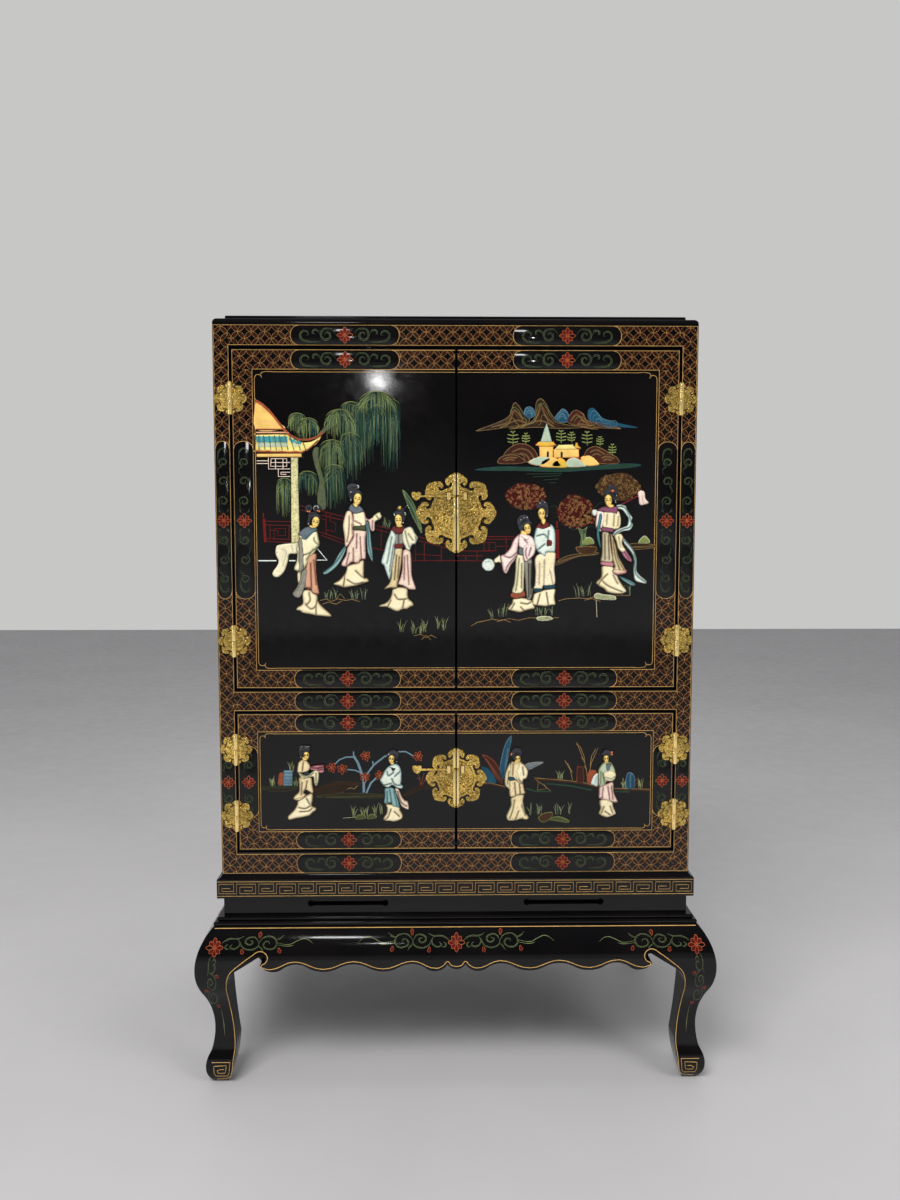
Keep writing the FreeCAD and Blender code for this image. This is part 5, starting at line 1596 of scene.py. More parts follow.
            ("shell", "sage", 1.5, 3.8, 7, 2, [(-10, 47), (13, 53), (13, 38), (15, 27), (18, 14),
                (21, 11), (24, 5), (18, 1), (10, 3), (-3, 0), (-16, 0), (-20, 8), (-16, 19),
                (-11, 31)], [[(-4, 41), (-8, 19), (-13, 5)], [(10, 31), (17, 10)], [(4, 19), (-2, 3)]]),
            ("shell", "fold", 3.4, 2.8, 6, 5, [(-13, 83), (10, 76), (15, 62), (16, 53), (2, 50), (-2, 47),
                (-13, 47), (-15, 63)], [[(-4, 75), (-2, 50)], [(5, 72), (7, 53)]]),
            ("shell", "sage", 4.4, 2.6, 5, 1, [(-12, 114), (-10, 90), (-13, 72), (-11, 59), (-19, 66),
                (-23, 72), (-23, 89), (-19, 103)], [[(-15, 97), (-18, 72)]]),
            ("shell", "fold", 4.8, 2.4, 5, 0, [(-12, 114), (-3, 116), (10, 114), (7, 84),
                (-13, 84)], [[(-7, 111), (-8, 90)]]),
            ("ivory", "fold", 5.4, 2.8, 5, 1, [(5, 114), (11, 113), (18, 106), (22, 97), (19, 84),
                (13, 81), (11, 73), (2, 76), (-3, 84), (-4, 95), (1, 106)], [[(-1, 94), (4, 81),
                (10, 76)], [(11, 106), (13, 90)]]),
            ("deepTeal", "ink", 6.4, 1, 1.5, 0, [(-15.5, 87), (-4.5, 88), (-4, 81), (-15, 80)], []),
            ("skin", "skinShade", 4.5, 2.6, 3, 0, [(-3.5, 120), (5.5, 119), (5, 113), (-4.5, 113.5)], []),
            ("hair", "hairShine", 4.8, 2.8, 4, 0, [(-11, 132), (-8, 140), (-1, 143), (7, 141), (9, 134),
                (8, 128), (2, 126), (-2, 123), (-3, 116), (-7, 120), (-9, 126)], [[(-7, 132), (-1, 138),
                (6, 135)]]),
        ],
        "lines": [
            ("ink", 0.9, 6.4, [[(-12, 48.5), (-3, 47.5)], [(2.5, 52.5), (14, 55)]]),
            ("ink", 0.5, 7.4, [[(-10, 114.5), (-1, 112), (6.5, 114)]]),
        ],
        "beads": [
            ("coral", 1.5, 7.2, [(-10.5, 132.5), (-11, 130)]),
            ("ink", 0.8, 6.4, [(-8, 73.5), (-6.5, 65.5), (10, 51.5)]),
        ],
    },
    "lady_in_green": {
        "door": "lower_right",
        "foot": (291.0, 511.0),
        "face": (-4, 116, 6.3, 7.7, 4),
        "parts": [
            ("ivory", "fold", 1.5, 3.8, 7, 0, [(-14, 36), (-1, 39), (10, 33), (12, 22), (16, 13), (17, 8),
                (11, 4), (-1, 0), (-12, 4), (-17, 9), (-14, 19), (-16, 28)], [[(-7, 22),
                (-12, 9)], [(5, 23), (10, 10)], [(-5, 13), (5, 6)]]),
            ("blush", "rose", 3.4, 2.8, 6, 3, [(-16, 62), (-3, 67), (10, 71), (12, 51), (17, 39),
                (20, 31), (10, 30), (2, 33), (-16, 38), (-17, 48)], [[(-9, 60), (-11, 39)], [(0, 62),
                (4, 35)], [(7, 62), (10, 36)]]),
            ("celadon", "sage", 4.4, 3, 7, 1, [(-11, 107), (-2, 110), (5, 109), (12, 99), (15, 87),
                (14, 78), (10, 72), (-2, 71), (-6, 64), (-16, 62), (-19, 71), (-19, 89),
                (-18, 96)], [[(-14, 91), (-14, 67)], [(-10, 88), (-7, 68)]]),
            ("ivory", "sage", 6, 2.6, 5, 0, [(-8, 91), (5, 95), (15, 88), (13, 77), (4, 72), (-6, 75),
                (-10, 84)], [[(-6, 80), (5, 77), (12, 81)]]),
            ("slate", "sage", 6.6, 0.9, 2, 16, [(-6, 106), (5, 107), (4, 95.5), (-3.5, 91.5)], []),
            ("skin", "skinShade", 4.5, 2.6, 3, 0, [(-7.5, 113), (0, 113), (0, 107), (-7, 106.5)], []),
            ("hair", "hairShine", 4.8, 2.8, 4, 0, [(-13, 123), (-10, 130), (-4, 134), (3, 132), (6, 126),
                (5, 117), (5, 110), (3, 113), (1, 121), (-5, 122)], [[(-8, 127), (-3, 130), (3, 126)]]),
        ],
        "lines": [],
        "beads": [
            ("coral", 2.2, 6.8, [(6, 129), (6.5, 125)]),
            ("ink", 0.9, 6.4, [(5.5, 59), (-14, 40.5), (-10, 41.5), (3, 34), (7.5, 33.5), (11.5, 33.5),
                (16, 33.5)]),
        ],
    },
}

# gardens in raised paint
gardenPaint = {
    "soft": 2.0,
    "sink": 0.1,
    "contours": {
        "darkEarth": ("olive", "rust", "tan"),
        "maroon": ("rust", "olive", "tan"),
        "blue": ("steel", "teal", "steel"),
    },
    "contourShares": (0.84, 0.66, 0.46),
}
willowSize = {
    "dome": 0.8,
    # colour, width and count of the strands
    "strands": [("pine", 0.9, 1.0), ("deepTeal", 0.7, 0.4), (None, 0.7, 1.0), ("leafLine", 0.6, 0.6)],
}


def mass(paint, place, main, edge, high, speck, outline, folds):
    part = (main, edge, gardenPaint["sink"], high, gardenPaint["soft"], speck, outline, folds)
    carve(paint, place, part, gardenRelief)


def gardenLine(paint, place, colour, width, lines):
    drawLines(paint, place, lines, width, colour, 0.4 + 0.06 * width, 0.1, steps=3)


def overLine(paint, place, colour, width, lines):
    drawLines(paint, place, lines, width, colour, 0.85, 0.9 + 0.4 / max(width, 1.0), steps=3)


def hill(paint, place, main, edge, high, speck, outline, folds):
    mass(paint, place, main, edge, high, speck, outline, folds)
    middle = sum(u for u, v in outline) / len(outline)
    base = min(v for u, v in outline)
    crest = [(u, v) for u, v in outline if v > base + 4]
    for share, colour in zip(gardenPaint["contourShares"], gardenPaint["contours"][main]):
        ring = [(middle + share * (u - middle), base + share * (v - base)) for u, v in crest]
        drawLines(paint, place, [ring], 1.0, colour, 0.5, high, smooth=True, steps=3, tips=0.4)


def willowStrand(u, v, wide, tall):
    share = random.uniform(-1.0, 1.0)
    reach = u + share * wide
    crown = v - wide * 0.1 - wide * 0.75 * (1 - math.sqrt(1 - 0.9 * share * share))
    end = v - tall * random.uniform(0.62, 1.02) * (1 - 0.12 * share * share)
    depth = random.uniform(0.0, 0.3) * tall
    return [
        (u + share * wide * 0.3, v - 1.0 - depth),
        (u + share * wide * 0.8, crown - depth + wide * 0.1),
        (reach, crown - depth - 0.25 * (crown - end)),
        (reach + random.uniform(-1, 1), end),
    ]


def willow(paint, place, u, v, wide, tall, tone, level):
    dome = willowSize["dome"]
    foot = v - wide * dome
    arch = [(a, foot + (b - foot) * dome) for a, b in arc(u, foot, wide, 10, 170, 8)]
    ragged = []
    for number in range(7):
        share = number / 6
        drop = 0.4 + 0.16 * (number % 2) - 0.14 * abs(share - 0.5)
        ragged.append((u - wide * 0.95 + 1.9 * wide * share, v - tall * drop))
    top = 0.35 + 0.25 * level
    mass(paint, place, "leaf", "leaf", top, 0, arch + ragged, [])
    drawLines(paint, place, [arch[1:-1]], 1.1, "olive", 0.3, top + 0.4, smooth=True, steps=3, tips=0.3)
    look = {"smooth": True, "steps": 3, "tips": 0.4}
    for colour, width, count in willowSize["strands"]:
        strands = [willowStrand(u, v, wide, tall) for number in range(max(7, int(wide * count)))]
        drawLines(paint, place, strands, width, colour or tone, 0.2, top + 0.15, **look)


def bloom(paint, place, u, v, wide, tall, dark, pale):
    outline = []
    for number in range(16):
        angle = math.pi * number / 8
        reach = random.uniform(0.86, 1.0)
        outline.append((u + wide * reach * math.cos(angle), v + tall * reach * math.sin(angle)))
    ground = "petal" if dark == "wine" else dark
    mass(paint, place, ground, ground, 0.3, 0, outline, [])
    rings, florets = [], []
    for number in range(int(wide * tall / 9)):
        angle, reach = random.uniform(0, 2 * math.pi), math.sqrt(random.random()) * 0.9
        spot = (u + wide * reach * math.cos(angle), v + tall * reach * math.sin(angle))
        turn = random.uniform(0, 360)
        rings.append(arc(*spot, random.uniform(1.3, 2.6), turn, turn + random.uniform(180, 290), 4))
        florets.append(arc(*spot, 2.0, turn, turn + 300, 5))
    drawShapes(paint, place, florets, dark, 0.5, 0.2, 0.1, smooth=False)
    drawLines(paint, place, rings, 0.65, pale, 0.4, 0.75, smooth=True, steps=2)


def grass(paint, place, colour, tall, tufts):
    leaves = []
    for u, v in tufts:
        for number in range(6):
            lean = random.uniform(-0.3, 0.3) * tall
            high = tall * random.uniform(0.45, 1.0)
            foot = u + random.uniform(-3.5, 3.5)
            leaves.append([(foot, v - 1), (foot + lean * 0.3, v + high * 0.55), (foot + lean, v + high)])
    drawLines(paint, place, leaves[::2], 1.2, colour, 0.4, 0.1, smooth=True, steps=3, tips=0.15)
    drawLines(paint, place, leaves[1::2], 0.8, "sage", 0.35, 0.2, smooth=True, steps=3, tips=0.3)


def plum(paint, place, radius, blossoms):
    for u, v in blossoms:
        drawFlower(paint, place @ shifted(u, v, 11 * u), radius, 6, 0.4)


gardenKinds = {
    "mass": mass, "hill": hill, "line": gardenLine, "over": overLine,
    "willow": willow, "bloom": bloom, "grass": grass, "flower": plum,
}
gardenOrigins = {
    "upper_left": (-210, 1080),
    "upper_right": (210, 1080),
    "lower_left": (-210, 583),
    "lower_right": (210, 583),
}
gardens = {
    "upper_left": [
        ("line", "fence", 1.3, [[(-147, 0), (-98, -1)], [(-147, -7), (-99, -8)], [(-146, -33),
            (-96, -34)], [(-147, -38), (-96, -40)], [(-82, 29), (0, 8), (130, -27),
            (210, -48)], [(-82, 21), (0, 1), (130, -34), (210, -55)], [(-49, -19), (-2, -35), (53, -50),
            (130, -68)], [(127, -74), (211, -74)], [(-44, -26), (-2, -42)]]),
        ("line", "fence", 1.2, [[(-139, -7), (-139, -33)], [(-103, -8), (-104, -33)], [(-139, -17),
            (-124, -17), (-124, -27), (-110, -27), (-110, -14), (-131, -14), (-131, -33)], [(-50, 20),
            (-50, -19)], [(-34, 15), (-34, -23)], [(-50, 6), (-34, 2)], [(-26, 13), (-26, 0), (-16, -4),
            (-17, -20), (-34, -16)], [(69, -16), (69, -52)], [(133, -36), (133, -74)], [(182, -49),
            (182, -74)], [(133, -62), (182, -65)], [(150, -41), (150, -74)]]),
        ("line", "fence", 5, [[(-150, 5), (-148, -39)]]),
        ("line", "fence", 9, [[(-152, 11), (-150, 11)]]),
        ("willow", -86, 200, 18, 39, "olive", 0),
        ("willow", -66, 191, 21, 45, "olive", 1),
        ("willow", -7, 207, 29, 58, "olive", 2),
        ("willow", 14, 221, 21, 82, "pine", 1),
        ("willow", 36, 218, 22, 120, "pine", 0),
        ("willow", 62, 240, 37, 45, "olive", 3),
        ("willow", 62, 215, 17, 77, "pine", 1),
        ("willow", 86, 226, 21, 136, "pine", 0),
        ("willow", -111, 80, 16, 73, "olive", 0),
        ("willow", -68, 93, 20, 47, "pine", 1),
        ("mass", "bark", "moss", 0.6, 12, [(-47, 22), (-50, 49), (-46, 75), (-54, 104), (-58, 126),
            (-53, 137), (-46, 136), (-47, 123), (-44, 102), (-38, 80), (-34, 53),
            (-34, 25)], [[(-47, 123), (-44, 91), (-40, 59)]]),
        ("mass", "bark", "moss", 0.6, 8, [(-51, 156), (-36, 174), (-19, 189), (-12, 186), (-16, 177),
            (-32, 167), (-47, 153)], []),
        ("willow", -22, 151, 25, 67, "olive", 0),
        ("willow", 12, 164, 22, 93, "pine", 0),
        ("willow", -19, 105, 22, 82, "pine", 0),
        ("mass", "ochre", "salmon", 0.6, 0, [(-162, 223), (-162, 223), (-150, 216), (-134, 200),
            (-118, 182), (-110, 171), (-163, 170)], [[(-152, 185), (-134, 184), (-127, 192),
            (-134, 202)], [(-134, 184), (-125, 173)]]),
        ("mass", "tile", "ochre", 0.7, 0, [(-162, 160), (-162, 160), (-101, 160), (-92, 152), (-77, 146),
            (-58, 148), (-42, 158), (-50, 144), (-62, 137), (-78, 129), (-163, 131), (-163, 131)], []),
        ("over", "tileBlue", 4.6, [[(-160, 157), (-159, 146)], [(-155, 157), (-154, 146)], [(-150, 157),
            (-149, 146)], [(-145, 157), (-144, 146)], [(-141, 157), (-139, 146)], [(-136, 157),
            (-135, 146)], [(-131, 157), (-130, 146)], [(-126, 157), (-125, 146)], [(-121, 157),
            (-120, 146)], [(-117, 157), (-115, 146)], [(-112, 157), (-111, 146)], [(-107, 157),
            (-106, 146)], [(-100, 154), (-94, 146)], [(-94, 151), (-87, 144)], [(-86, 148), (-79, 144)]]),
        ("over", "celadon", 4.6, [[(-158, 145), (-157, 138)], [(-153, 145), (-153, 138)], [(-149, 145),
            (-148, 138)], [(-144, 145), (-143, 138)], [(-139, 145), (-138, 138)], [(-134, 145),
            (-133, 138)], [(-129, 145), (-129, 138)], [(-125, 145), (-124, 138)], [(-120, 145),
            (-119, 138)], [(-115, 145), (-114, 138)], [(-110, 145), (-109, 138)], [(-106, 145),
            (-105, 138)], [(-92, 146), (-88, 138)], [(-84, 142), (-81, 139)]]),
        ("over", "moss", 1.4, [[(-157, 159), (-157, 132)], [(-148, 159), (-146, 132)], [(-138, 159),
            (-135, 132)], [(-128, 159), (-125, 132)], [(-119, 159), (-114, 132)], [(-109, 159),
            (-103, 132)], [(-100, 159), (-92, 132)], [(-90, 159), (-80, 132)], [(-80, 159), (-70, 132)]]),
        ("over", "rust", 4.0, [[(-162, 223), (-150, 216), (-137, 204), (-125, 189), (-111, 171),
            (-99, 159), (-84, 151), (-65, 151), (-48, 156), (-37, 165)]]),
        ("over", "coral", 1.0, [[(-163, 221), (-151, 214), (-138, 202), (-125, 187), (-112, 170),
            (-100, 157)]]),
        ("over", "rust", 2.4, [[(-162, 170), (-110, 170)], [(-163, 129), (-78, 127), (-62, 136),
            (-47, 150)]]),
        ("over", "salmon", 2.6, [[(-162, 164), (-102, 164)]]),
        ("over", "coral", 1.0, [[(-163, 131), (-151, 129), (-140, 131), (-127, 128), (-114, 130),
            (-102, 128), (-90, 130), (-78, 128)]]),
        ("mass", "ochre", "fold", 0.6, 0, [(-162, 125), (-162, 125), (-78, 126), (-78, 126), (-78, 119),
            (-78, 119), (-162, 119), (-162, 119)], []),
        ("line", "blush", 1.4, [[(-162, 112), (-140, 112)], [(-162, 107), (-140, 107)], [(-140, 118),
            (-140, 97), (-100, 97)], [(-135, 116), (-106, 116), (-106, 102), (-136, 102),
            (-135, 116)], [(-127, 116), (-127, 97)], [(-113, 116), (-113, 97)], [(-135, 109),
            (-100, 109)], [(-122, 97), (-122, 83), (-100, 83)], [(-100, 91), (-117, 91), (-117, 87),
            (-107, 87)]]),
        ("mass", "stone", "celadon", 1.2, 22, [(-98, 118), (-98, 118), (-85, 118), (-85, 118), (-85, 59),
            (-84, -5), (-84, -41), (-84, -41), (-99, -41), (-99, -41), (-99, 27)], []),
        ("mass", "ivory", "sage", 2.2, 3, [(-128, -49), (-122, -44), (-96, -41), (-85, -43), (-87, -60),
            (-103, -62), (-106, -74), (-113, -94), (-125, -105), (-134, -103), (-135, -95), (-127, -84),
            (-124, -74), (-129, -62)], [[(-118, -52), (-109, -58), (-116, -84)], [(-99, -45), (-96, -58)]]),
        ("line", "mist", 2.2, [[(-161, -74), (-128, -74)], [(-104, -74), (-92, -74)], [(-54, -73),
            (-33, -73), (-52, -50)]]),
        ("mass", "pine", "leafLine", 0.4, 0, [(109, 58), (123, 45), (134, 25), (144, -7), (145, -23),
            (136, -7), (124, 17)], [[(111, 53), (130, 22), (143, -16)]]),
        ("grass", "pine", 22, [(-35, -146), (-26, -146), (-16, -144), (13, -146), (21, -146), (36, -146),
            (75, -11), (82, -12)]),
        ("line", "tan", 1.0, [[(-47, -149), (-35, -146), (-26, -151), (-13, -146), (0, -149), (13, -147),
            (28, -151)], [(-42, -156), (-32, -152), (-16, -156), (-6, -150)], [(-16, -146), (-9, -136),
            (0, -146)]]),
        ("grass", "olive", 26, [(107, -208), (130, -211), (143, -213), (149, -208), (175, -202),
            (187, -205)]),
        ("line", "tan", 0.8, [[(130, -216), (143, -213), (153, -220), (162, -215),
            (172, -220)], [(144, -224), (153, -215), (162, -224)]]),
    ],
    "upper_right": [
        ("hill", "darkEarth", "fold", 0.5, 3, [(-174, 168), (-135, 183), (-112, 196), (-104, 218),
            (-96, 218), (-83, 199), (-73, 190), (-80, 180), (-112, 175), (-144, 170)], [[(-144, 175),
            (-112, 185), (-102, 206), (-86, 189)], [(-128, 174), (-99, 187), (-80, 183)]]),
        ("hill", "blue", "steel", 0.5, 0, [(-84, 199), (-82, 209), (-74, 213), (-65, 207), (-64, 196),
            (-74, 191), (-82, 193)], [[(-79, 203), (-72, 206), (-69, 198)]]),
        ("hill", "darkEarth", "fold", 0.5, 3, [(-112, 172), (-80, 180), (-64, 193), (-62, 219),
            (-53, 228), (-43, 219), (-35, 203), (-22, 187), (-3, 180), (36, 175), (-16, 172),
            (-61, 174)], [[(-67, 182), (-57, 200), (-53, 217), (-43, 194), (-29, 182)], [(-90, 174),
            (-54, 187), (-29, 176)]]),
        ("hill", "blue", "steel", 0.5, 0, [(-28, 190), (-19, 203), (-11, 209), (-2, 202), (0, 187),
            (-13, 183), (-22, 185)], [[(-22, 190), (-12, 200), (-5, 190)]]),
        ("hill", "maroon", "fold", 0.5, 3, [(-4, 185), (3, 200), (13, 207), (27, 200), (36, 187),
            (68, 180), (100, 172), (49, 174), (17, 177)], [[(4, 187), (15, 198), (29, 184)], [(16, 181),
            (42, 178)]]),
        ("hill", "blue", "deepTeal", 0.5, 0, [(36, 190), (36, 206), (44, 211), (52, 205), (64, 192),
            (97, 182), (130, 174), (81, 176), (49, 182)], [[(41, 187), (45, 203), (58, 187)]]),
        ("line", "olive", 1.1, [[(-104, 140), (-104, 167)], [(-80, 144), (-80, 163)], [(-14, 145),
            (-14, 169)], [(6, 146), (5, 165)], [(35, 141), (34, 168)], [(59, 140), (59, 157)], [(82, 124),
            (82, 143)]]),
        ("line", "olive", 2.0, [[(-114, 148), (-104, 146), (-95, 148)], [(-115, 154), (-104, 152),
            (-93, 154)], [(-114, 161), (-104, 159), (-95, 161)], [(-109, 167), (-104, 165),
            (-100, 167)], [(-87, 150), (-80, 148), (-73, 150)], [(-88, 155), (-80, 153),
            (-72, 155)], [(-87, 159), (-80, 158), (-73, 159)], [(-83, 164), (-80, 162),
            (-77, 164)], [(-23, 152), (-14, 150), (-5, 152)], [(-24, 158), (-14, 156),
            (-4, 158)], [(-23, 164), (-14, 162), (-6, 164)], [(-19, 169), (-14, 167),
            (-10, 169)], [(-2, 152), (6, 150), (12, 152)], [(-3, 156), (5, 155), (13, 156)], [(-2, 162),
            (5, 160), (12, 162)], [(2, 166), (5, 164), (9, 166)], [(25, 148), (35, 146),
            (44, 148)], [(24, 155), (35, 153), (45, 155)], [(25, 161), (34, 159), (44, 161)], [(30, 167),
            (34, 165), (39, 167)], [(52, 145), (59, 143), (65, 145)], [(52, 150), (59, 148),
            (66, 150)], [(52, 154), (59, 152), (65, 154)], [(55, 158), (59, 156), (62, 158)], [(75, 129),
            (82, 128), (89, 129)], [(74, 134), (82, 132), (90, 134)], [(75, 139), (82, 137),
            (89, 139)], [(79, 144), (82, 142), (85, 144)]]),
        ("mass", "maroon", "fold", 0.6, 0, [(-130, 107), (-128, 119), (-112, 124), (-93, 122),
            (-82, 109)], [[(-122, 115), (-111, 119), (-97, 118)], [(-117, 113), (-110, 115), (-102, 114)]]),
        ("mass", "maroon", "fold", 0.6, 0, [(-122, 122), (-112, 136), (-93, 145), (-73, 141), (-60, 128),
            (-58, 113), (-80, 110), (-86, 122), (-105, 125)], [[(-105, 129), (-91, 135), (-77, 132),
            (-68, 123), (-66, 112), (-82, 110), (-86, 119)], [(-99, 122), (-90, 126), (-81, 124),
            (-75, 118), (-74, 111), (-84, 110), (-87, 115)]]),
        ("mass", "maroon", "fold", 0.6, 0, [(29, 123), (36, 135), (52, 140), (73, 130), (82, 123),
            (66, 123), (56, 113), (33, 117)], [[(41, 129), (53, 133), (67, 125), (74, 121), (62, 120),
            (55, 113)], [(46, 123), (53, 126), (62, 121), (67, 118), (59, 118), (55, 113)]]),
        ("mass", "maroon", "fold", 0.6, 0, [(54, 108), (57, 122), (72, 126), (89, 121),
            (94, 108)], [[(62, 118), (72, 121), (85, 117)], [(66, 114), (73, 116), (80, 114)]]),
        ("mass", "celadon", "teal", 1.0, 0, [(-42, 187), (-42, 187), (-39, 177), (-31, 147), (-31, 147),
            (-53, 147), (-53, 147), (-44, 177)], []),
        ("mass", "amber", "coral", 1.2, 0, [(-62, 142), (-62, 142), (-56, 148), (-56, 148), (-30, 148),
            (-30, 148), (-23, 142), (-23, 142), (-35, 139), (-54, 139)], []),
        ("mass", "ochre", "coral", 0.9, 0, [(-55, 139), (-55, 139), (-29, 139), (-29, 139), (-29, 118),
            (-29, 118), (-54, 118), (-54, 118)], []),
        ("mass", "tile", "sage", 1.0, 0, [(-27, 133), (-27, 133), (-19, 142), (-19, 142), (7, 143),
            (7, 143), (16, 134), (16, 134)], []),
        ("mass", "ochre", "coral", 0.8, 0, [(-28, 134), (-28, 134), (19, 134), (19, 134), (20, 119),
            (20, 119), (-28, 118), (-28, 118)], []),
        ("mass", "amber", "rust", 1.1, 0, [(8, 136), (12, 141), (13, 146), (17, 146), (18, 141),
            (24, 136)], []),
        ("over", "ink", 4.0, [[(-39, 130), (-39, 120)], [(-13, 129), (-13, 119)]]),
        ("mass", "celadon", "coral", 0.9, 0, [(-76, 111), (-60, 120), (-41, 121), (-31, 116), (-47, 104),
            (-67, 105)], []),
        ("mass", "celadon", "coral", 0.9, 0, [(-4, 101), (-2, 114), (11, 119), (28, 111), (33, 102)], []),
        ("mass", "ochre", "coral", 0.9, 0, [(-54, 102), (-47, 116), (-31, 120), (-18, 114),
            (-14, 101)], []),
        ("mass", "ochre", "coral", 0.9, 0, [(30, 104), (23, 119), (40, 123), (53, 114), (57, 105)], []),
        ("mass", "amber", "coral", 0.9, 0, [(-33, 101), (-28, 112), (-15, 118), (-5, 111), (-3, 100)], []),
        ("mass", "pine", "deepTeal", 0.3, 0, [(-176, 96), (-128, 102), (-47, 101), (50, 104), (108, 108),
            (138, 105), (108, 99), (50, 96), (-15, 92), (-96, 94), (-144, 94)], []),
        ("line", "pine", 1.3, [[(-79, 88), (-12, 89)], [(-66, 83), (-15, 85)], [(-47, 77),
            (-18, 79)], [(-36, 72), (-24, 72)]]),
        ("bloom", -78, 47, 42, 27, "wine", "tan"),
        ("bloom", 14, 18, 37, 34, "wine", "tan"),
        ("bloom", 94, 64, 46, 27, "umber", "tan"),
        ("bloom", 38, 8, 19, 15, "wine", "tan"),
        ("line", "pine", 1.1, [[(-92, 24), (-82, 22), (-66, 24)], [(-34, 26), (-27, 29),
            (-17, 24)], [(-14, 8), (-11, -2), (-1, -2), (6, -8), (19, -10), (23, -16)], [(38, -11),
            (48, -9), (53, -15)], [(47, 23), (60, 34), (65, 36)], [(1, -3), (9, -16), (15, -15)]]),
        ("line", "wine", 2.2, [[(93, 28), (112, 37), (132, 48)]]),
        ("mass", "blush", "rose", 1.6, 0, [(131, 54), (137, 58), (144, 54), (146, 42), (152, 34),
            (136, 30), (133, 42)], [[(139, 48), (141, 34)]]),
        ("mass", "pine", "leafLine", 0.6, 0, [(24, -46), (25, -29), (19, -11), (28, -16), (37, -10),
            (34, -21), (35, -46)], [[(27, -19), (28, -45)], [(32, -23), (32, -45)]]),
        ("mass", "umber", "tan", 0.7, 12, [(17, -48), (54, -48), (50, -60), (35, -63), (22, -60)], []),
        ("mass", "darkEarth", "fold", 0.5, 2, [(-24, -82), (-17, -73), (6, -63), (54, -58), (55, -63),
            (19, -67), (-13, -80)], [[(-17, -77), (13, -67), (52, -62)]]),
        ("mass", "darkEarth", "fold", 0.5, 2, [(113, -47), (123, -41), (161, -43), (164, -50), (126, -54),
            (113, -52)], [[(120, -49), (161, -47)]]),
        ("line", "umber", 3, [[(30, -46), (51, -44)], [(104, -45), (117, -45)]]),
        ("mass", "olive", "celadon", 0.8, 0, [(25, -43), (32, -32), (42, -30), (49, -36), (48, -43)], []),
        ("mass", "olive", "celadon", 0.8, 0, [(134, -41), (138, -32), (146, -27), (155, -36),
            (153, -41)], []),
        ("line", "fence", 6.5, [[(-19, -70), (-20, -15)]]),
        ("line", "fence", 13, [[(-22, -6), (-19, -6)]]),
        ("line", "fence", 1.3, [[(-156, -29), (-101, -29)], [(-158, -34), (-101, -34)], [(-208, -74),
            (-124, -75)], [(-210, -56), (-134, -56)], [(-158, -40), (-136, -40), (-136, -55), (-158, -55),
            (-158, -40)], [(-148, -40), (-148, -55)], [(-116, -29), (-116, -65)], [(-136, -47),
            (-111, -47)], [(-210, -65), (-160, -65)], [(-192, -65), (-192, -74)], [(-171, -56),
            (-171, -74)]]),
        ("line", "tan", 1.0, [[(-182, -198), (-171, -191), (-155, -188), (-143, -185), (-127, -187),
            (-110, -184), (-91, -187), (-71, -182), (-45, -184), (-16, -182)], [(-133, -190),
            (-120, -186), (-107, -191)], [(-16, -150), (0, -146), (20, -145), (40, -146), (53, -142),
            (72, -143), (98, -140), (118, -140)], [(33, -149), (46, -146), (63, -151)]]),
        ("line", "ivory", 0.8, [[(55, -149), (56, -164), (57, -181)]]),
        ("mass", "sage", "ivory", 0.6, 8, [(-58, -182), (-48, -179), (-32, -180), (-27, -185),
            (-42, -188), (-55, -187)], []),
        ("mass", "sage", "ivory", 0.6, 8, [(51, -140), (57, -135), (69, -138), (89, -140), (92, -148),
            (72, -148), (54, -146)], []),
        ("grass", "pine", 28, [(-141, -184), (-127, -179), (-118, -179), (-58, -177), (-48, -177),
            (-40, -177), (-30, -177), (20, -143), (30, -141), (42, -140), (105, -140), (118, -139)]),
    ],
    "lower_left": [
        ("mass", "darkEarth", "pine", 0.5, 0, [(-163, -12), (-153, -8), (-93, -7), (-92, -13),
            (-128, -20), (-153, -17)], [[(-159, -12), (-93, -10)]]),
        ("mass", "darkEarth", "umber", 0.5, 0, [(-62, -14), (-45, -8), (-20, 1), (25, -1), (25, -7),
            (5, -12), (-11, -22), (-58, -25)], [[(-58, -15), (-20, -4), (21, -5)]]),
        ("mass", "darkEarth", "moss", 0.4, 0, [(-58, -28), (-7, -22), (74, -25), (74, -32), (5, -32),
            (-39, -31)], [[(-39, -29), (72, -28)]]),
        ("mass", "darkEarth", "umber", 0.4, 0, [(108, -26), (126, -14), (142, -9), (165, -9), (165, -13),
            (142, -15), (129, -22), (110, -29)], []),
        ("mass", "steel", "deepTeal", 1.2, 4, [(-120, 23), (-120, 23), (-102, 23), (-102, 23), (-103, -8),
            (-103, -8), (-121, -8), (-121, -8)], [[(-119, 18), (-102, 18)], [(-119, 11),
            (-102, 11)], [(-120, 4), (-102, 4)], [(-121, -2), (-103, -2)]]),
        ("mass", "rust", "maroon", 0.7, 10, [(-131, -5), (-129, 15), (-124, 19), (-120, 16),
            (-121, -5)], []),
        ("grass", "olive", 22, [(-140, -7), (-143, -7), (-96, -8), (-104, 20)]),
        ("line", "steel", 4.6, [[(33, -21), (33, 1), (29, 17), (22, 37), (14, 50)]]),
        ("line", "steel", 2.4, [[(14, 48), (0, 48), (-13, 43), (-22, 34)], [(28, 17), (18, 22),
            (2, 24)], [(98, 58), (114, 58), (129, 49)], [(14, 49), (14, 59)], [(52, 32), (50, 40)]]),
        ("line", "steel", 3.4, [[(35, -2), (41, 17), (53, 33), (72, 48), (82, 53)], [(38, -22), (47, -2),
            (57, 7), (73, 17)]]),
        ("flower", 10.4, [(-28, 28), (-8, 25), (37, 50), (35, 9), (64, 12), (137, 49)]),
        ("line", "rust", 0.9, [[(142, -7), (140, 7), (136, 17)], [(143, -6), (148, 14),
            (147, 27)], [(145, -6), (156, 10)], [(140, 4), (135, 7)]]),
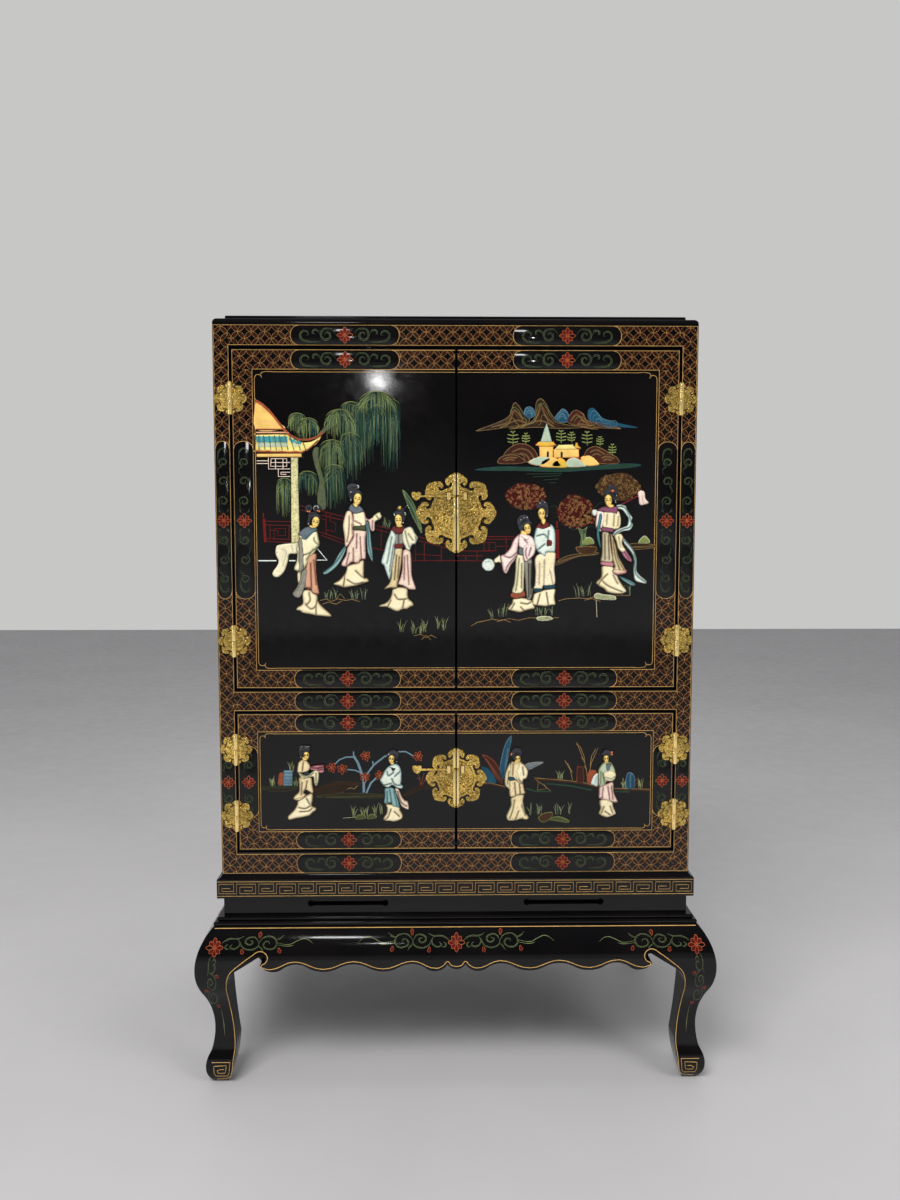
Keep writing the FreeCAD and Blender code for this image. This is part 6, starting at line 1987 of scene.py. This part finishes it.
        ("grass", "olive", 24, [(14, -69), (32, -68), (37, -67), (56, -64), (67, -63)]),
        ("mass", "moss", "olive", 0.6, 4, [(16, -72), (21, -65), (32, -64), (37, -70), (27, -74)], []),
        ("mass", "moss", "olive", 0.6, 4, [(38, -72), (46, -63), (56, -65), (57, -70), (46, -73)], []),
        ("line", "sage", 0.8, [[(-8, -71), (18, -69)]]),
        ("line", "tan", 0.9, [[(-9, -21), (-1, -15), (7, -12), (15, -14), (21, -8)]]),
    ],
    "lower_right": [
        ("mass", "blue", "steel", 0.7, 8, [(-125, 2), (-127, 23), (-121, 56), (-114, 77), (-104, 88),
            (-107, 63), (-111, 40), (-118, 8)], [[(-117, 16), (-111, 63)]]),
        ("mass", "maroon", "rust", 0.7, 4, [(-121, -5), (-135, 9), (-148, 33), (-160, 52), (-142, 44),
            (-130, 30), (-123, 13)], [[(-152, 43), (-125, 3)]]),
        ("mass", "blue", "deepTeal", 0.5, 3, [(-162, 28), (-148, 24), (-135, 6), (-134, -4), (-152, -1),
            (-157, 16)], [[(-157, 23), (-137, -1)]]),
        ("mass", "slate", "grey", 0.5, 3, [(-80, 29), (-69, 36), (-42, 37), (-55, 29),
            (-71, 22)], [[(-76, 29), (-46, 36)]]),
        ("line", "tan", 1.0, [[(42, 5), (39, 29), (30, 52), (21, 75)], [(44, 7), (50, 36),
            (62, 64)], [(14, 1), (9, 22), (-2, 41)], [(20, 72), (28, 66), (35, 49), (37, 36)], [(58, 62),
            (50, 49), (47, 29)], [(-1, 37), (5, 32), (13, 16)], [(35, 39), (30, 46)], [(40, 22),
            (36, 29)]]),
        ("mass", "maroon", "rust", 0.8, 16, [(21, -3), (21, -3), (22, 28), (22, 28), (34, 28), (34, 28),
            (36, 9), (34, -4)], []),
        ("mass", "rust", "maroon", 0.8, 12, [(41, -2), (43, 16), (53, 22), (62, 15), (51, -6)], []),
        ("mass", "mist", "sky", 2.2, 0, [(49, -5), (54, 10), (64, 15), (63, -10), (54, -9)], [[(58, 9),
            (57, -5)]]),
        ("mass", "blue", "steel", 0.8, 8, [(116, -14), (118, 12), (126, 16), (133, 8),
            (133, -14)], [[(125, 12), (125, -12)]]),
        ("line", "umber", 3.2, [[(-160, -5), (-142, -5), (-115, -13)], [(-60, 4), (-9, 0), (34, -5),
            (57, -12), (90, -17), (163, -19)]]),
        ("line", "tan", 0.9, [[(-160, -3), (-142, -4), (-115, -11)], [(-60, 6), (-9, 2), (34, -3),
            (57, -10), (90, -15), (162, -17)], [(-58, 3), (-42, -8), (-28, -20)], [(-52, -1), (-54, -18),
            (-36, -15), (-42, -4)]]),
        ("line", "pine", 3.2, [[(-76, -15), (-56, -20), (-28, -21)], [(-36, -5), (11, -10),
            (51, -18)], [(90, -21), (124, -22)]]),
        ("line", "rust", 1.0, [[(133, -12), (138, -2), (143, -12), (147, 0)], [(130, -5), (137, 3)]]),
        ("grass", "olive", 22, [(-13, 2), (-8, 2), (111, -14), (114, -14), (143, -15), (147, -14)]),
        ("grass", "pine", 25, [(-54, -65), (-49, -64), (-15, -65), (-11, -65), (8, -64), (-65, -66)]),
        ("mass", "umber", "olive", 0.6, 8, [(-52, -72), (-42, -63), (-25, -61), (-25, -70), (-35, -79),
            (-45, -81)], []),
        ("mass", "moss", "olive", 0.6, 5, [(-32, -76), (-22, -70), (-9, -70), (7, -77), (5, -82),
            (-15, -79)], []),
    ],
}

for number, (name, origin) in enumerate(gardenOrigins.items()):
    random.seed(40 + number)
    paint = newPaint()
    for kind, *values in gardens[name]:
        gardenKinds[kind](paint, onFront() @ shifted(*origin), *values)
    finishPiece(paint, "garden_" + name, "door_" + name, raisedPaint, 60)
print("cabinet: gardens painted")

face = {
    "cell": 0.8,
    "slim": 0.82,
    "eyesAt": 0.42,
    # width, colour, height, lift, thin ends, and points in shares of the face's half width and half height
    "brow": (1.6, "ink", 0.8, 7.9, 0.4, [(-0.28, 0.26), (0, 0.36), (0.28, 0.26)]),
    "lid": (2.5, "ink", 0.8, 7.9, 0.4, [(-0.26, 0.04), (0, 0.08), (0.26, 0.03)]),
    "nose": (1.2, "skinShade", 0.7, 7.9, 1.0, [(0, 0.1), (0.05, -0.12), (-0.08, -0.2)]),
    "mouth": (2.3, "fence", 0.8, 7.7, 0.5, [(-0.14, -0.43), (0, -0.47), (0.14, -0.43)]),
}


def drawFeature(paint, place, feature, wide, tall, middle=0.0):
    width, colour, high, lift, tips, shares = face[feature]
    line = [(middle + wide * a, tall * b) for a, b in shares]
    drawLines(paint, place, [line], width, colour, high, lift, smooth=True, tips=tips)


def drawFace(paint, place, values):
    u, v, wide, tall, turn = values
    spot = place @ shifted(u, v, turn)
    wide *= face["slim"]
    turns = [math.pi * k / 5 for k in range(10)]
    oval = [(wide * math.cos(a) * (1.0 + 0.16 * math.sin(a)), tall * math.sin(a)) for a in turns]
    carve(paint, spot, ("skin", "skin", 5.2, 2.8, wide * 0.8, 0, oval, []), dict(carving, cell=face["cell"]))
    for side in (-1, 1):
        for feature in ("brow", "lid"):
            drawFeature(paint, spot, feature, wide, tall, side * wide * face["eyesAt"])
    for feature in ("nose", "mouth"):
        drawFeature(paint, spot, feature, wide, tall)


def drawLady(name, lady):
    random.seed(len(lady["parts"]))
    paint = newPaint()
    place = onFront() @ shifted(*lady["foot"])
    for part in lady["parts"]:
        carve(paint, place, part)
    drawFace(paint, place, lady["face"])
    for colour, width, lift, lines in lady["lines"]:
        drawLines(paint, place, lines, width, colour, 0.5, lift, smooth=True, tips=0.5)
    for colour, size, lift, spots in lady["beads"]:
        beads(paint, place, spots, size, lift, colour)
    finishPiece(paint, "carved_" + name, "door_" + lady["door"], carvedStone, 65, [name])


for name, lady in ladies.items():
    drawLady(name, lady)
print("cabinet: ladies carved")

# CAD nodes by the start of their names, and all others in black lacquer
nodeFinishes = [
    (("hinge_", "lock_", "bolt_"), polishedBrass),
    (("lady_",), plainStone),
    (("shelf", "bottom_board", "mid_deck", "top_board", "back_board"), innerLacquer),
    (("glue_blocks", "stand_panel", "stand_battens"), innerLacquer),
]


def assignMaterials():
    for name, node in nodes.items():
        finishes = [material for starts, material in nodeFinishes if name.startswith(starts)]
        node.data.materials.clear()
        node.data.materials.append(finishes[0] if finishes else blackLacquer)


def makeStage():
    material, tree, shader = newMaterial("paleFloor")
    colour = blendColours(tree, noise(tree, 1.5, 3.0), (0.36, 0.35, 0.35, 1.0), (0.43, 0.42, 0.42, 1.0))
    tree.links.new(colour, shader.inputs["Base Color"])
    roughness(tree, shader, 14.0, 4.0, 0.4, 0.6)
    flat = bmesh.new()
    bmesh.ops.create_grid(flat, x_segments=1, y_segments=1, size=8.0)
    mesh = bpy.data.meshes.new("floor")
    flat.to_mesh(mesh)
    flat.free()
    mesh.materials.append(material)
    floor = bpy.data.objects.new("floor", mesh)
    bpy.context.scene.collection.objects.link(floor)


# place, aim, size, power, and whether the lacquer mirrors it
lights = {
    "key": ((-1.4, -3.0, 4.2), (0.0, -0.2, 0.9), (2.4, 1.6), 230.0, False),
    "fill": ((2.6, -2.2, 2.4), (0.0, 0.0, 0.8), (1.6, 1.6), 60.0, False),
    "top": ((0.0, 0.3, 3.2), (0.0, 0.0, 0.8), (2.4, 1.6), 30.0, False),
    "strip": ((-3.2, -1.3, 1.1), (0.0, -0.24, 0.9), (0.25, 1.8), 8.0, True),
    "lamp": ((-0.327, -3.2, 1.83), (-0.1, 0.0, 1.3), (0.06, 0.06), 1.3, True),
    "window": ((-0.587, -3.0, 2.6), (-0.2, 0.0, 0.5), (0.3, 0.2), 5.0, True),
}


def makeLights():
    for name, (place, aim, size, power, mirrored) in lights.items():
        lamp = bpy.data.lights.new(name, "AREA")
        lamp.shape = "RECTANGLE"
        lamp.size, lamp.size_y = size
        lamp.energy = power
        holder = bpy.data.objects.new(name, lamp)
        holder.location = place
        way = Vector(aim) - Vector(place)
        holder.rotation_euler = way.to_track_quat("-Z", "Y").to_euler()
        holder.visible_glossy = mirrored
        bpy.context.scene.collection.objects.link(holder)


# The camera sees a pale backdrop, and mirrors see a dark room with a pale floor and a grey wall
studio = {
    "backdrop": (0.57, 0.575, 0.565, 1.0),
    "frontFloor": (0.62, 0.62, 0.64, 1.0),
    "frontRoom": (0.04, 0.04, 0.045, 1.0),
    "frontLight": (0.02, 0.02, 0.022, 1.0),
    "behind": (0.5, 0.5, 0.51, 1.0),
    "ceiling": (0.08, 0.08, 0.09, 1.0),
    "ceilingLight": (0.62, 0.63, 0.65, 1.0),
}


def makeWorld():
    world = bpy.data.worlds.new("studio")
    bpy.context.scene.world = world
    world.use_nodes = True
    tree = world.node_tree
    seen = tree.nodes["Background"]
    seen.inputs["Color"].default_value = studio["backdrop"]
    seen.inputs["Strength"].default_value = 1.0
    room = tree.nodes.new("ShaderNodeBackground")
    coords = tree.nodes.new("ShaderNodeTexCoord")
    axes = tree.nodes.new("ShaderNodeSeparateXYZ")
    tree.links.new(coords.outputs["Generated"], axes.inputs["Vector"])
    up = spread(tree, axes.outputs["Z"], 0.0, 1.0, 0.3, 0.85)
    behind = spread(tree, axes.outputs["Y"], 0.0, 1.0, -0.75, 0.6)
    dusk = spread(tree, axes.outputs["Z"], 0.0, 1.0, -0.12, 0.12)
    path = tree.nodes.new("ShaderNodeLightPath")
    mirrored = path.outputs["Is Glossy Ray"]
    horizon = blendColours(tree, dusk, studio["frontFloor"], studio["frontRoom"])
    front = blendColours(tree, mirrored, studio["frontLight"], horizon)
    high = blendColours(tree, mirrored, studio["ceilingLight"], studio["ceiling"])
    low = blendColours(tree, behind, front, studio["behind"])
    tree.links.new(blendColours(tree, up, low, high), room.inputs["Color"])
    mixer = tree.nodes.new("ShaderNodeMixShader")
    tree.links.new(path.outputs["Is Camera Ray"], mixer.inputs[0])
    tree.links.new(room.outputs[0], mixer.inputs[1])
    tree.links.new(seen.outputs[0], mixer.inputs[2])
    tree.links.new(mixer.outputs[0], tree.nodes["World Output"].inputs["Surface"])


def makeCamera():
    data = bpy.data.cameras.new("view")
    data.sensor_width = 36.0
    data.sensor_fit = "AUTO"
    data.lens = camera["lens"]
    data.clip_end = 60.0
    holder = bpy.data.objects.new("view", data)
    holder.location = camera["place"]
    holder.rotation_euler = (math.radians(camera["tilt"]), 0.0, math.radians(camera["turn"]))
    bpy.context.scene.collection.objects.link(holder)
    bpy.context.scene.camera = holder


assignMaterials()
makeStage()
makeLights()
makeWorld()
makeCamera()
bpy.context.scene.view_settings.view_transform = "Standard"
print("cabinet: stage set")
